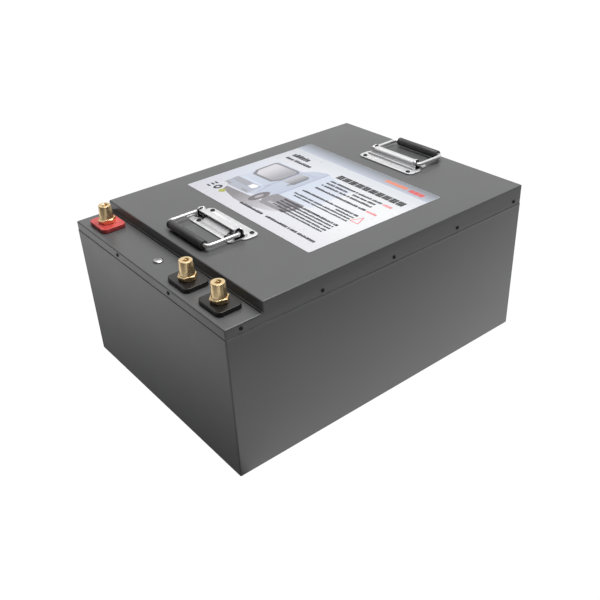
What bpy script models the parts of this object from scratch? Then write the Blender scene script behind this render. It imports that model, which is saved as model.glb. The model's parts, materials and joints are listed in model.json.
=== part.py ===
"""Lithium battery pack in a painted sheet-steel case.

The case is a deep tray with a joggled rim. A stepped lid slips over the rim and is held by
small screws all round. Three brass terminals stand on insulating pads on the lid's low step,
beside a pressure valve, and two spring-loaded folding handles are riveted to the high part.
Inside are four bricks of prismatic cells, their busbars, a protection unit and its leads.

Frame: X across the pack, Y along it with the terminals at -Y, Z up, origin at the centre of
the base. Units are metres.
"""

from math import cos, pi, radians, sin

import bmesh
import bpy
from mathutils import Matrix, Vector

MM = 0.001

# --- case and lid -----------------------------------------------------------------------------
WIDTH = 380 * MM  # outside of the case, along X
LENGTH = 521 * MM  # outside of the case, along Y
TOP_Z = 237.7 * MM  # high part of the lid
STEP_DEPTH = 54.6 * MM  # low step at the terminal end, along Y
STEP_DROP = 15.4 * MM  # height of the step
SKIRT_Z = 209.3 * MM  # lower edge of the lid's skirt
SHEET = 1.5 * MM
LID_INSET = 0.5 * MM  # the lid's skirt stands this far inside the case's wall
BEND_RADIUS = 1.6 * MM
CORNER_RADIUS = 2.2 * MM
BEND_SEGMENTS = 3
GAP = 0.3 * MM  # clearance kept between pieces that touch

SHELF_Z = TOP_Z - STEP_DROP
RISER_Y = -LENGTH / 2 + STEP_DEPTH
RIM_Z = SHELF_Z - SHEET - 1.2 * MM
RIM_INSET = LID_INSET + SHEET + GAP
WALL_TOP_Z = SKIRT_Z - 2.2 * MM

# --- lid screws, M3 with a low head -----------------------------------------------------------
SCREW_PITCH = 120.5 * MM
SCREWS_ALONG = 5
SCREW_END_X = 66 * MM
SCREW_MIDDLE_Y = 3 * MM
SCREW_Z = 216 * MM
SCREW_RADIUS = 1.5 * MM
SCREW_LENGTH = 8 * MM
SCREW_HEAD_RADIUS = 2.6 * MM
SCREW_HEAD_HEIGHT = 1.0 * MM
SCREW_SEAT = 0.15 * MM

# --- label ------------------------------------------------------------------------------------
LABEL_SIZE = (292 * MM, 239 * MM)
LABEL_CENTRE = (-8.5 * MM, 26 * MM)
LABEL_TURN = radians(-0.5)
LABEL_THICKNESS = 0.3 * MM
LABEL_SEAT = 0.1 * MM

# --- terminals --------------------------------------------------------------------------------
TERMINAL_Y = -233 * MM
TERMINALS = {"positive": -143.5 * MM, "discharge": 71 * MM, "charge": 141.3 * MM}
PAD_SIZE = (46.5 * MM, 36 * MM, 6 * MM)
PAD_RADIUS = 7 * MM
HEX_FLATS = 21.5 * MM
HEX_HEIGHT = 6.5 * MM
HEX_TURN = radians(43)
POST_HEIGHT = 19 * MM
POST_FOOT_RADIUS = 10.2 * MM
POST_TOP_RADIUS = 9.0 * MM
THREAD_RADIUS = 3.4 * MM  # M8 tapping hole
THREAD_DEPTH = 18 * MM
STUD_RADIUS = 5 * MM
STUD_LENGTH = 27 * MM
NUT_FLATS = 17 * MM
NUT_HEIGHT = 8 * MM
LUG_THICKNESS = 2.5 * MM

# --- pressure valve ---------------------------------------------------------------------------
VALVE_XY = (-3 * MM, -233 * MM)
VALVE_RADIUS = 7 * MM
VALVE_STEM_RADIUS = 4.5 * MM

# --- folding handles, in their own frame: u across, v away from the label, w up ---------------
HANDLE_X = -2.5 * MM
PIVOT_FRONT_Y = -137 * MM
PIVOT_REAR_Y = 195.5 * MM
PIVOT_W = 7.3 * MM
PLATE_BACK = (57.5 * MM, -27 * MM, 0.5 * MM)  # half width, first v, last v
PLATE_FRONT = (51 * MM, -9 * MM, 18 * MM)
PLATE_BACK_RADIUS = 8.5 * MM
PLATE_FRONT_RADIUS = 6 * MM
PLATE_SHEET = 1.5 * MM
RIVET_BACK = (47 * MM, -21 * MM)
RIVET_FRONT = (33.5 * MM, 10.6 * MM)
RIVET_RADIUS = 2.0 * MM
RIVET_HEAD_RADIUS = 3.4 * MM
RIVET_HEAD_HEIGHT = 1.3 * MM
RIVET_GRIP = 7 * MM
FOOT_W = 0.8 * MM  # raised shapes start inside the plate's sheet
HOOD_TOP = 10.0 * MM
HOOD_RADIUS = 3.2 * MM  # outside of the hood's curl
HOOD_BACK_V = -8.5 * MM
HOOD_LIP_V = 2.5 * MM
HOOD_NOTCH_V = -4.8 * MM
HOOD_HALF = 48.5 * MM
HOOD_LIP_HALF = 28 * MM
EAR_U = 44.7 * MM
EAR_RADIUS = 6.4 * MM
PLINTH_HALF = 50 * MM  # raised strip along the back of the hood
PLINTH_V = (-13 * MM, -10.5 * MM)
PLINTH_W = 4.4 * MM
PANEL_HALF = 42.5 * MM  # shallow panel pressed into the back flange
PANEL_V = (-22.5 * MM, -14 * MM)
PANEL_DEPTH = 0.5 * MM
LEG_U = 49 * MM
LEG_LENGTH = 50 * MM
WIRE_RADIUS = 2.8 * MM
STUB_U = 33 * MM
GRIP_LENGTH = 82 * MM
GRIP_RADIUS = 6.3 * MM
SPRING_WIRE = 0.6 * MM
SPRING_RADIUS = 4.0 * MM
SPRING_COIL = (30.5 * MM, 42.0 * MM)
SPRING_TURNS = 5

# --- inside -----------------------------------------------------------------------------------
CELL = (173.9 * MM, 71.7 * MM, 204.5 * MM)
CELL_BOND = 0.5 * MM
CELL_TERMINAL_U = 61 * MM
CELL_TERMINAL_SIZE = 16 * MM
CELL_TERMINAL_HEIGHT = 2.4 * MM
CELLS_IN_BRICK = 3
COLUMN_X = 87.6 * MM
CELL_BASE_Z = 5.1 * MM
REAR_FACE_Y = 256 * MM
BRICK_GAP = 1 * MM
BUSBAR_WIDTH = 22 * MM
BUSBAR_THICKNESS = 2 * MM
BMS_SIZE = (190 * MM, 22 * MM, 90 * MM)
BMS_Z = 60 * MM
LEAD_RADIUS = 4.2 * MM

PITCH_Y = CELL[1] + CELL_BOND
BRICK_LENGTH = CELLS_IN_BRICK * CELL[1] + (CELLS_IN_BRICK - 1) * CELL_BOND
FRONT_FACE_Y = REAR_FACE_Y - 2 * BRICK_LENGTH - BRICK_GAP
CELL_TOP_Z = CELL_BASE_Z + CELL[2]
BUSBAR_Z = CELL_TOP_Z + CELL_TERMINAL_HEIGHT + GAP


# --- scene and materials ----------------------------------------------------------------------
def clear_scene():
    for obj in list(bpy.data.objects):
        bpy.data.objects.remove(obj, do_unlink=True)


def new_collection(name, rendered=True):
    collection = bpy.data.collections.new(name)
    bpy.context.scene.collection.children.link(collection)
    collection.hide_render = not rendered
    return collection


def new_material(name, colour, roughness, metallic=0.0):
    material = bpy.data.materials.new(name)
    material.use_nodes = True
    shader = material.node_tree.nodes["Principled BSDF"]
    shader.inputs["Base Color"].default_value = (*colour, 1.0)
    shader.inputs["Roughness"].default_value = roughness
    shader.inputs["Metallic"].default_value = metallic
    material.diffuse_color = (*colour, 1.0)
    return material


# --- mesh helpers -----------------------------------------------------------------------------
def mesh_of(bm, name, smooth_angle=radians(35)):
    """A mesh from the bmesh, faces out, with round faces shaded smooth."""
    bmesh.ops.recalc_face_normals(bm, faces=bm.faces)
    mesh = bpy.data.meshes.new(name)
    bm.to_mesh(mesh)
    bm.free()
    mesh.shade_smooth()
    mesh.set_sharp_from_angle(angle=smooth_angle)
    return mesh


def add(name, mesh, material, location=(0, 0, 0), turn_z=0.0):
    obj = bpy.data.objects.new(name, mesh)
    obj.location = location
    obj.rotation_euler.z = turn_z
    if not mesh.materials:
        mesh.materials.append(material)
    PARTS.objects.link(obj)
    return obj


def add_cutter(name, mesh, location=(0, 0, 0), turn_z=0.0):
    obj = bpy.data.objects.new(name, mesh)
    obj.location = location
    obj.rotation_euler.z = turn_z
    obj.hide_render = True
    obj.display_type = "WIRE"
    CUTTERS.objects.link(obj)
    return obj


def boolean(obj, other, operation):
    modifier = obj.modifiers.new(f"{operation.lower()}_{other.name}", "BOOLEAN")
    modifier.operation = operation
    modifier.object = other
    modifier.solver = "EXACT"


def add_box(bm, low, high):
    """Adds a box between two corners and returns its vertices."""
    low, high = Vector(low), Vector(high)
    made = bmesh.ops.create_cube(bm, size=1.0)["verts"]
    bmesh.ops.scale(bm, vec=high - low, verts=made)
    bmesh.ops.translate(bm, vec=(low + high) / 2, verts=made)
    return made


def round_upright_edges(bm, verts, radius, segments):
    edges = {e for v in verts for e in v.link_edges if e.other_vert(v) in verts}
    upright = [e for e in edges if abs((e.verts[0].co - e.verts[1].co).normalized().z) > 0.99]
    bmesh.ops.bevel(bm, geom=upright, offset=radius, segments=segments, affect="EDGES", profile=0.5)


def add_cylinder(bm, centre, radius, length, axis="Z", segments=12):
    """Adds a cylinder centred on a point."""
    made = bmesh.ops.create_cone(
        bm, cap_ends=True, segments=segments, radius1=radius, radius2=radius, depth=length
    )["verts"]
    turn = {"X": Matrix.Rotation(pi / 2, 3, "Y"), "Y": Matrix.Rotation(-pi / 2, 3, "X")}
    if axis in turn:
        bmesh.ops.rotate(bm, matrix=turn[axis], verts=made)
    bmesh.ops.translate(bm, vec=Vector(centre), verts=made)
    return made


def turned_mesh(name, profile, segments, smooth_angle=radians(35)):
    """A solid of revolution about Z from (radius, height) points that end on the axis or close."""
    bm = bmesh.new()
    verts = [bm.verts.new((r, 0, z)) for r, z in profile]
    pairs = list(zip(verts, verts[1:]))
    if profile[0][0] > 0:
        pairs.append((verts[-1], verts[0]))
    edges = [bm.edges.new(pair) for pair in pairs]
    bmesh.ops.spin(
        bm, geom=verts + edges, cent=(0, 0, 0), axis=(0, 0, 1), dvec=(0, 0, 0),
        angle=2 * pi, steps=segments, use_merge=False, use_duplicate=False,
    )  # fmt: skip
    bmesh.ops.remove_doubles(bm, verts=bm.verts, dist=1e-6)
    bmesh.ops.dissolve_degenerate(bm, dist=1e-7, edges=bm.edges)
    return mesh_of(bm, name, smooth_angle)


def rounded_outline(half_x, low_y, high_y, radius, segments):
    """Points of a rounded rectangle, anticlockwise, for a flat plate."""
    points = []
    corners = [
        (half_x, low_y, -90), (half_x, high_y, 0), (-half_x, high_y, 90), (-half_x, low_y, 180)
    ]  # fmt: skip
    middle = (low_y + high_y) / 2
    for x, y, start in corners:
        centre = Vector((x - radius if x > 0 else x + radius, y + radius if y < middle else y - radius))
        for i in range(segments + 1):
            a = radians(start + 90 * i / segments)
            points.append(centre + radius * Vector((cos(a), sin(a))))
    return points


def add_extrusion(bm, outline, low, high, place):
    """Extrudes a closed 2-D outline from low to high; place(a, b, height) gives each 3-D point."""
    face = bm.faces.new([bm.verts.new(place(a, b, low)) for a, b in outline])
    made = bmesh.ops.extrude_face_region(bm, geom=[face])["geom"]
    shift = Vector(place(0, 0, high)) - Vector(place(0, 0, low))
    bmesh.ops.translate(bm, vec=shift, verts=[g for g in made if isinstance(g, bmesh.types.BMVert)])


def flat(a, b, height):
    return (a, b, height)


def across(a, b, height):
    """Places an outline drawn in the (v, w) plane, extruded along u."""
    return (height, a, b)


def wire(name, points, radius, material, sides=10, location=(0, 0, 0), closed=False):
    """A round wire along a list of points."""
    data = bpy.data.curves.new(name, "CURVE")
    data.dimensions = "3D"
    data.bevel_depth = radius
    data.bevel_resolution = max(0, (sides - 4) // 2)
    data.use_fill_caps = True
    spline = data.splines.new("POLY")
    spline.points.add(len(points) - 1)
    for point, place in zip(spline.points, points):
        point.co = (*place, 1.0)
    spline.use_cyclic_u = closed
    data.materials.append(material)
    obj = bpy.data.objects.new(name, data)
    obj.location = location
    PARTS.objects.link(obj)
    return obj


def solidified(curve):
    """Turns a wire into a closed mesh object, so that it can be joined to another shape."""
    bpy.context.view_layer.update()
    graph = bpy.context.evaluated_depsgraph_get()
    mesh = bpy.data.meshes.new_from_object(curve.evaluated_get(graph))
    bm = bmesh.new()
    bm.from_mesh(mesh)
    bmesh.ops.remove_doubles(bm, verts=bm.verts, dist=1e-6)
    name, location = curve.name, tuple(curve.location)
    material = curve.data.materials[0]
    bpy.data.objects.remove(curve, do_unlink=True)
    return add(name, mesh_of(bm, name), material, location)


def arc(centre, radius, start, end, steps):
    """2-D points on an arc, from one angle in degrees to another."""
    points = []
    for i in range(steps + 1):
        a = radians(start + (end - start) * i / steps)
        points.append((centre[0] + radius * cos(a), centre[1] + radius * sin(a)))
    return points


# --- case and lid -----------------------------------------------------------------------------
def screw_places():
    """(centre on the lid's skirt, outward normal) of each lid screw."""
    half_x, half_y = WIDTH / 2 - LID_INSET, LENGTH / 2 - LID_INSET
    places = []
    for side in (1, -1):
        for i in range(SCREWS_ALONG):
            y = SCREW_MIDDLE_Y + side * (i - (SCREWS_ALONG - 1) / 2) * SCREW_PITCH
            places.append((Vector((side * half_x, y, SCREW_Z)), Vector((side, 0, 0))))
    for side in (1, -1):
        for x in (-SCREW_END_X, SCREW_END_X):
            places.append((Vector((x, side * half_y, SCREW_Z)), Vector((0, side, 0))))
    return places


def screw_hole_cutter():
    bm = bmesh.new()
    for centre, normal in screw_places():
        add_cylinder(bm, centre, SCREW_RADIUS + 0.4 * MM, 12 * MM, "X" if normal.x else "Y")
    return add_cutter("cut_screw_holes", mesh_of(bm, "cut_screw_holes"))


def make_case(material, holes):
    """A tray of bent sheet, whose rim is set in so that the lid's skirt stands outside it."""
    bm = bmesh.new()
    verts = add_box(bm, (-WIDTH / 2, -LENGTH / 2, 0), (WIDTH / 2, LENGTH / 2, WALL_TOP_Z))
    bmesh.ops.delete(bm, geom=[f for f in bm.faces if f.normal.z > 0.9], context="FACES_ONLY")
    round_upright_edges(bm, set(verts), CORNER_RADIUS, BEND_SEGMENTS)
    for height, inset in ((SKIRT_Z - 0.4 * MM, RIM_INSET), (RIM_Z, 0.0)):
        rim = [e for e in bm.edges if e.is_boundary]
        grown = bmesh.ops.extrude_edge_only(bm, edges=rim)["geom"]
        for v in (g for g in grown if isinstance(g, bmesh.types.BMVert)):
            v.co.x *= 1 - inset / (WIDTH / 2)
            v.co.y *= 1 - inset / (LENGTH / 2)
            v.co.z = height
    base = [e for e in bm.edges if all(v.co.z < 1e-6 for v in e.verts)]
    bmesh.ops.bevel(bm, geom=base, offset=BEND_RADIUS, segments=2, affect="EDGES", profile=0.5)
    case = add("case", mesh_of(bm, "case", radians(50)), material)
    shell = case.modifiers.new("sheet", "SOLIDIFY")
    shell.thickness = SHEET
    shell.offset = -1
    shell.use_even_offset = True
    boolean(case, holes, "DIFFERENCE")


def make_lid(material, holes):
    """A stepped cover of bent sheet with a skirt on all four sides, open below."""
    half_x, half_y = WIDTH / 2 - LID_INSET, LENGTH / 2 - LID_INSET
    bm = bmesh.new()
    add_box(bm, (-half_x, -half_y, SKIRT_Z), (half_x, half_y, SHELF_Z))
    bmesh.ops.bisect_plane(
        bm, geom=bm.verts[:] + bm.edges[:] + bm.faces[:], plane_co=(0, RISER_Y, 0), plane_no=(0, 1, 0)
    )
    high = [f for f in bm.faces if f.normal.z > 0.9 and f.calc_center_median().y > RISER_Y]
    raised = bmesh.ops.extrude_face_region(bm, geom=high)["geom"]
    bmesh.ops.delete(bm, geom=high, context="FACES_ONLY")
    top = [g for g in raised if isinstance(g, bmesh.types.BMVert)]
    bmesh.ops.translate(bm, vec=(0, 0, STEP_DROP), verts=top)
    bmesh.ops.recalc_face_normals(bm, faces=bm.faces)
    bmesh.ops.delete(bm, geom=[f for f in bm.faces if f.normal.z < -0.9], context="FACES")
    bmesh.ops.dissolve_limit(bm, angle_limit=radians(1), verts=bm.verts, edges=bm.edges)
    bends = [e for e in bm.edges if not e.is_boundary]
    bmesh.ops.bevel(
        bm, geom=bends, offset=BEND_RADIUS, segments=BEND_SEGMENTS, affect="EDGES", profile=0.5
    )
    lid = add("lid", mesh_of(bm, "lid", radians(50)), material)
    shell = lid.modifiers.new("sheet", "SOLIDIFY")
    shell.thickness = SHEET
    shell.offset = -1
    shell.use_even_offset = True

    bm = bmesh.new()
    for x in TERMINALS.values():
        add_cylinder(bm, (x, TERMINAL_Y, SHELF_Z), STUD_RADIUS + 1 * MM, 10 * MM)
    add_cylinder(bm, (*VALVE_XY, SHELF_Z), VALVE_STEM_RADIUS + 0.5 * MM, 10 * MM)
    for x, y in rivet_places():
        add_cylinder(bm, (x, y, TOP_Z), RIVET_RADIUS + 0.4 * MM, 10 * MM)
    top_holes = add_cutter("cut_lid_holes", mesh_of(bm, "cut_lid_holes"))
    boolean(lid, holes, "DIFFERENCE")
    boolean(lid, top_holes, "DIFFERENCE")


def make_lid_screws(material):
    head, shank = SCREW_HEAD_RADIUS, SCREW_RADIUS
    profile = [
        (0, SCREW_HEAD_HEIGHT),
        (head * 0.75, SCREW_HEAD_HEIGHT),
        (head, SCREW_HEAD_HEIGHT * 0.45),
        (head, 0),
        (shank, 0),
        (shank, -SCREW_LENGTH),
        (0, -SCREW_LENGTH),
    ]
    mesh = turned_mesh("lid_screw", profile, 10)
    for i, (centre, normal) in enumerate(screw_places(), start=1):
        screw = add(f"lid_screw_{i:02d}", mesh, material, centre + normal * SCREW_SEAT)
        screw.rotation_euler = Vector((0, 0, 1)).rotation_difference(normal).to_euler()


def make_label(material):
    width, depth = LABEL_SIZE
    bm = bmesh.new()
    outline = rounded_outline(width / 2, -depth / 2, depth / 2, 2 * MM, 2)
    add_extrusion(bm, outline, 0, LABEL_THICKNESS, flat)
    place = (*LABEL_CENTRE, TOP_Z + LABEL_SEAT)
    add("label", mesh_of(bm, "label"), material, place, LABEL_TURN)


# --- terminals and valve ----------------------------------------------------------------------
def make_terminals(red, black, brass, steel):
    """For each terminal an insulating pad, a brass post whose stud passes the lid, and its nut."""
    width, depth, height = PAD_SIZE
    pad_z = SHELF_Z + GAP
    post_z = pad_z + height + GAP
    for name, x in TERMINALS.items():
        bm = bmesh.new()
        add_extrusion(bm, rounded_outline(width / 2, -depth / 2, depth / 2, PAD_RADIUS, 5), 0, height, flat)
        top = [e for e in bm.edges if all(v.co.z > height - 1e-6 for v in e.verts)]
        bmesh.ops.bevel(bm, geom=top, offset=0.8 * MM, segments=2, affect="EDGES", profile=0.5)
        pad = add(
            f"terminal_pad_{name}", mesh_of(bm, f"terminal_pad_{name}"),
            red if name == "positive" else black, (x, TERMINAL_Y, pad_z),
        )  # fmt: skip
        bm = bmesh.new()
        add_cylinder(bm, (0, 0, height / 2), STUD_RADIUS + 0.5 * MM, 2 * height, segments=16)
        hole = add_cutter(f"cut_pad_{name}", mesh_of(bm, f"cut_pad_{name}"), (x, TERMINAL_Y, pad_z))
        boolean(pad, hole, "DIFFERENCE")

        add(f"terminal_{name}", post_mesh(name), brass, (x, TERMINAL_Y, post_z))
        nut_z = SHELF_Z - SHEET - GAP - NUT_HEIGHT
        add(f"terminal_nut_{name}", nut_mesh(), steel, (x, TERMINAL_Y, nut_z))


def post_mesh(name):
    """Stud, hexagon and tapered post in one piece, with a blind threaded hole in the top."""
    profile = [
        (THREAD_RADIUS, HEX_HEIGHT + POST_HEIGHT - THREAD_DEPTH),
        (THREAD_RADIUS, HEX_HEIGHT + POST_HEIGHT - 1.0 * MM),
        (THREAD_RADIUS + 1.0 * MM, HEX_HEIGHT + POST_HEIGHT),
        (POST_TOP_RADIUS - 0.7 * MM, HEX_HEIGHT + POST_HEIGHT),
        (POST_TOP_RADIUS, HEX_HEIGHT + POST_HEIGHT - 0.7 * MM),
        (POST_FOOT_RADIUS, HEX_HEIGHT - 1 * MM),
        (STUD_RADIUS, 1 * MM),
        (STUD_RADIUS, -STUD_LENGTH),
        (0, -STUD_LENGTH),
    ]
    profile.insert(0, (0, profile[0][1]))
    post = turned_mesh(f"terminal_{name}", profile, 24)
    bm = bmesh.new()
    hexagon = add_cylinder(bm, (0, 0, HEX_HEIGHT / 2), HEX_FLATS / 2 / cos(pi / 6), HEX_HEIGHT, segments=6)
    rims = [e for e in bm.edges if abs(e.verts[0].co.z - e.verts[1].co.z) < 1e-6 and e.verts[0] in hexagon]
    bmesh.ops.bevel(bm, geom=rims, offset=0.8 * MM, segments=1, affect="EDGES")
    bmesh.ops.rotate(bm, matrix=Matrix.Rotation(HEX_TURN, 3, "Z"), verts=bm.verts)
    core = bpy.data.objects.new("hexagon", mesh_of(bm, "hexagon"))
    joined = bpy.data.objects.new("post", post)
    return baked_union(joined, core, f"terminal_{name}")


def baked_union(first, second, name):
    """The mesh of two overlapping solids joined into one."""
    for obj in (first, second):
        CUTTERS.objects.link(obj)
    boolean(first, second, "UNION")
    bpy.context.view_layer.update()
    graph = bpy.context.evaluated_depsgraph_get()
    mesh = bpy.data.meshes.new_from_object(first.evaluated_get(graph))
    mesh.name = name
    for obj in (first, second):
        bpy.data.objects.remove(obj, do_unlink=True)
    return mesh


def nut_mesh():
    """A hexagon nut with a clearance hole for the stud."""
    bm = bmesh.new()
    outer, inner = NUT_FLATS / 2 / cos(pi / 6), STUD_RADIUS + 0.4 * MM
    ring = []
    for i in range(12):
        a = i * pi / 6
        reach = outer if i % 2 == 0 else outer * cos(pi / 6)
        ring.append((Vector((cos(a), sin(a), 0)) * reach, Vector((cos(a), sin(a), 0)) * inner))
    low = [(bm.verts.new(o), bm.verts.new(i)) for o, i in ring]
    for k in range(12):
        (a, b), (c, d) = low[k], low[(k + 1) % 12]
        bm.faces.new((a, c, d, b))
    made = bmesh.ops.extrude_face_region(bm, geom=bm.faces[:])["geom"]
    bmesh.ops.translate(
        bm, vec=(0, 0, NUT_HEIGHT), verts=[g for g in made if isinstance(g, bmesh.types.BMVert)]
    )
    return mesh_of(bm, "terminal_nut")


def make_valve(material):
    """Pressure relief valve: a low domed cap on a stem through the lid."""
    dome, stem = VALVE_RADIUS, VALVE_STEM_RADIUS
    profile = [(0, 2.6 * MM), (dome * 0.5, 2.3 * MM), (dome * 0.85, 1.5 * MM), (dome, 0.6 * MM)]
    profile += [(dome, 0), (stem, 0), (stem, -8 * MM), (0, -8 * MM)]
    add("vent_valve", turned_mesh("vent_valve", profile, 20), material, (*VALVE_XY, SHELF_Z + GAP))


# --- handles ----------------------------------------------------------------------------------
def handle_frames():
    """(name, pivot y, turn about Z) of each handle; v points away from the label."""
    return [("front", PIVOT_FRONT_Y, pi), ("rear", PIVOT_REAR_Y, 0.0)]


def rivet_places():
    places = []
    for _, pivot_y, turn in handle_frames():
        away = 1 if turn == 0 else -1
        for half, v in (RIVET_BACK, RIVET_FRONT):
            places += [(HANDLE_X + side * half, pivot_y + away * v) for side in (-1, 1)]
    return places


def hood_outline(lip_v):
    """Section of the hood in (v, w): a wall behind the pivot that curls over towards the grip."""
    corner = (HOOD_BACK_V + HOOD_RADIUS, HOOD_TOP - HOOD_RADIUS)
    outer = [(HOOD_BACK_V, FOOT_W)] + arc(corner, HOOD_RADIUS, 180, 90, 4)
    outer.append((lip_v, HOOD_TOP - 0.5 * MM))
    inner_radius = HOOD_RADIUS - PLATE_SHEET
    inner = [(lip_v, HOOD_TOP - 0.5 * MM - PLATE_SHEET)]
    inner += arc(corner, inner_radius, 90, 180, 4)
    inner.append((HOOD_BACK_V + PLATE_SHEET, FOOT_W))
    return outer + inner


def ear_outline():
    """Section of an ear in (v, w): a lug with a round top about the pivot."""
    round_top = arc((0, PIVOT_W), EAR_RADIUS, -30, 210, 12)
    return [(-EAR_RADIUS, FOOT_W), (EAR_RADIUS, FOOT_W)] + round_top


def plinth_outline():
    """Section of the raised strip behind the hood, with a sloping back."""
    back, front = PLINTH_V
    inside_hood = HOOD_BACK_V + PLATE_SHEET / 2
    return [(back, FOOT_W), (inside_hood, FOOT_W), (inside_hood, PLINTH_W), (front, PLINTH_W)]


def plate_mesh():
    """The pressed plate: flanges, hood and two ears, joined, with its rivet and pivot holes."""
    shapes = []

    def keep(bm, name):
        shapes.append(bpy.data.objects.new(name, mesh_of(bm, name)))

    for (half, low, high), radius in ((PLATE_BACK, PLATE_BACK_RADIUS), (PLATE_FRONT, PLATE_FRONT_RADIUS)):
        bm = bmesh.new()
        add_extrusion(bm, rounded_outline(half, low, high, radius, 4), 0, PLATE_SHEET, flat)
        keep(bm, f"flange_{len(shapes)}")
    bm = bmesh.new()
    add_extrusion(bm, plinth_outline(), -PLINTH_HALF, PLINTH_HALF, across)
    keep(bm, "plinth")
    bm = bmesh.new()
    add_extrusion(bm, hood_outline(HOOD_NOTCH_V), -HOOD_HALF, HOOD_HALF, across)
    keep(bm, "hood_back")
    bm = bmesh.new()
    add_extrusion(bm, hood_outline(HOOD_LIP_V), -HOOD_LIP_HALF, HOOD_LIP_HALF, across)
    keep(bm, "hood_lip")
    for side in (-1, 1):
        bm = bmesh.new()
        low = side * EAR_U - PLATE_SHEET / 2
        add_extrusion(bm, ear_outline(), low, low + PLATE_SHEET, across)
        keep(bm, f"ear_{side}")
    body = shapes[0]
    for obj in shapes:
        CUTTERS.objects.link(obj)
    for other in shapes[1:]:
        boolean(body, other, "UNION")

    bm = bmesh.new()
    for half, v in (RIVET_BACK, RIVET_FRONT):
        for side in (-1, 1):
            add_cylinder(bm, (side * half, v, 0), RIVET_RADIUS + 0.4 * MM, 8 * MM)
    panel_z = PLATE_SHEET - PANEL_DEPTH
    add_box(bm, (-PANEL_HALF, PANEL_V[0], panel_z), (PANEL_HALF, PANEL_V[1], panel_z + PLATE_SHEET))
    for side in (-1, 1):
        add_cylinder(
            bm, (side * EAR_U, 0, PIVOT_W), WIRE_RADIUS + 0.45 * MM, 4 * PLATE_SHEET, "X", segments=20
        )
    holes = bpy.data.objects.new("plate_holes", mesh_of(bm, "plate_holes"))
    CUTTERS.objects.link(holes)
    boolean(body, holes, "DIFFERENCE")
    bpy.context.view_layer.update()
    graph = bpy.context.evaluated_depsgraph_get()
    mesh = bpy.data.meshes.new_from_object(body.evaluated_get(graph))
    mesh.name = "handle_plate"
    for obj in shapes + [holes]:
        bpy.data.objects.remove(obj, do_unlink=True)
    return mesh


def bail_points():
    """Half the bail mirrored: pivot stub, bend, leg, bend, then the bar inside the grip."""
    pivot_bend, grip_bend = 3.6 * MM, 6.5 * MM
    half = [(STUB_U, 0)]
    half += arc((LEG_U - pivot_bend, pivot_bend), pivot_bend, -90, 0, 4)
    half += arc((LEG_U - grip_bend, LEG_LENGTH - grip_bend), grip_bend, 0, 90, 5)
    return [(u, v, 0) for u, v in half] + [(-u, v, 0) for u, v in reversed(half)]


def spring_points():
    """Two coils round the pivot stubs, joined by a straight run held under the hood."""
    per_turn = 8
    start, end = SPRING_COIL
    steps = SPRING_TURNS * per_turn
    coil = []
    for i in range(steps + 1):
        a = radians(200) + 2 * pi * i / per_turn
        u = end + (start - end) * i / steps
        coil.append((u, SPRING_RADIUS * cos(a), SPRING_RADIUS * sin(a)))
    tail = [(end, SPRING_RADIUS * cos(radians(200)), -4.3 * MM)]
    run = [(start - 3 * MM, -5.2 * MM, -1 * MM)]
    half = tail + coil + run
    return half + [(-u, v, w) for u, v, w in reversed(half)]


def make_handles(chrome, rubber, steel, rivet_steel):
    plate = plate_mesh()
    grip_bore = WIRE_RADIUS + 0.35 * MM
    chamfer = 1.0 * MM
    half = GRIP_LENGTH / 2
    profile = [
        (grip_bore, half),
        (GRIP_RADIUS - chamfer, half),
        (GRIP_RADIUS, half - chamfer),
        (GRIP_RADIUS, -half + chamfer),
        (GRIP_RADIUS - chamfer, -half),
        (grip_bore, -half),
    ]
    sleeve = turned_mesh("grip", profile, 20)
    sleeve.transform(Matrix.Rotation(pi / 2, 4, "Y"))
    sleeve.transform(Matrix.Translation((0, LEG_LENGTH, 0)))
    for name, pivot_y, turn in handle_frames():
        foot = (HANDLE_X, pivot_y, TOP_Z + GAP)
        pivot = (HANDLE_X, pivot_y, TOP_Z + PIVOT_W + GAP)
        add(f"handle_plate_{name}", plate, chrome, foot, turn)
        bail = wire(f"handle_bail_{name}", bail_points(), WIRE_RADIUS, chrome, 12, pivot)
        bail.rotation_euler.z = turn
        add(f"handle_grip_{name}", sleeve, rubber, pivot, turn)
        spring = wire(f"handle_spring_{name}", spring_points(), SPRING_WIRE, steel, 6, pivot)
        spring.rotation_euler.z = turn
    head, shank = RIVET_HEAD_RADIUS, RIVET_RADIUS
    profile = [(0, RIVET_HEAD_HEIGHT), (head * 0.6, RIVET_HEAD_HEIGHT * 0.9), (head, 0.3 * MM), (head, 0)]
    profile += [(shank, 0), (shank, -RIVET_GRIP), (0, -RIVET_GRIP)]
    mesh = turned_mesh("handle_rivet", profile, 12)
    seat = TOP_Z + GAP + PLATE_SHEET + GAP
    for i, (x, y) in enumerate(rivet_places(), start=1):
        add(f"handle_rivet_{i}", mesh, rivet_steel, (x, y, seat))


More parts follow.
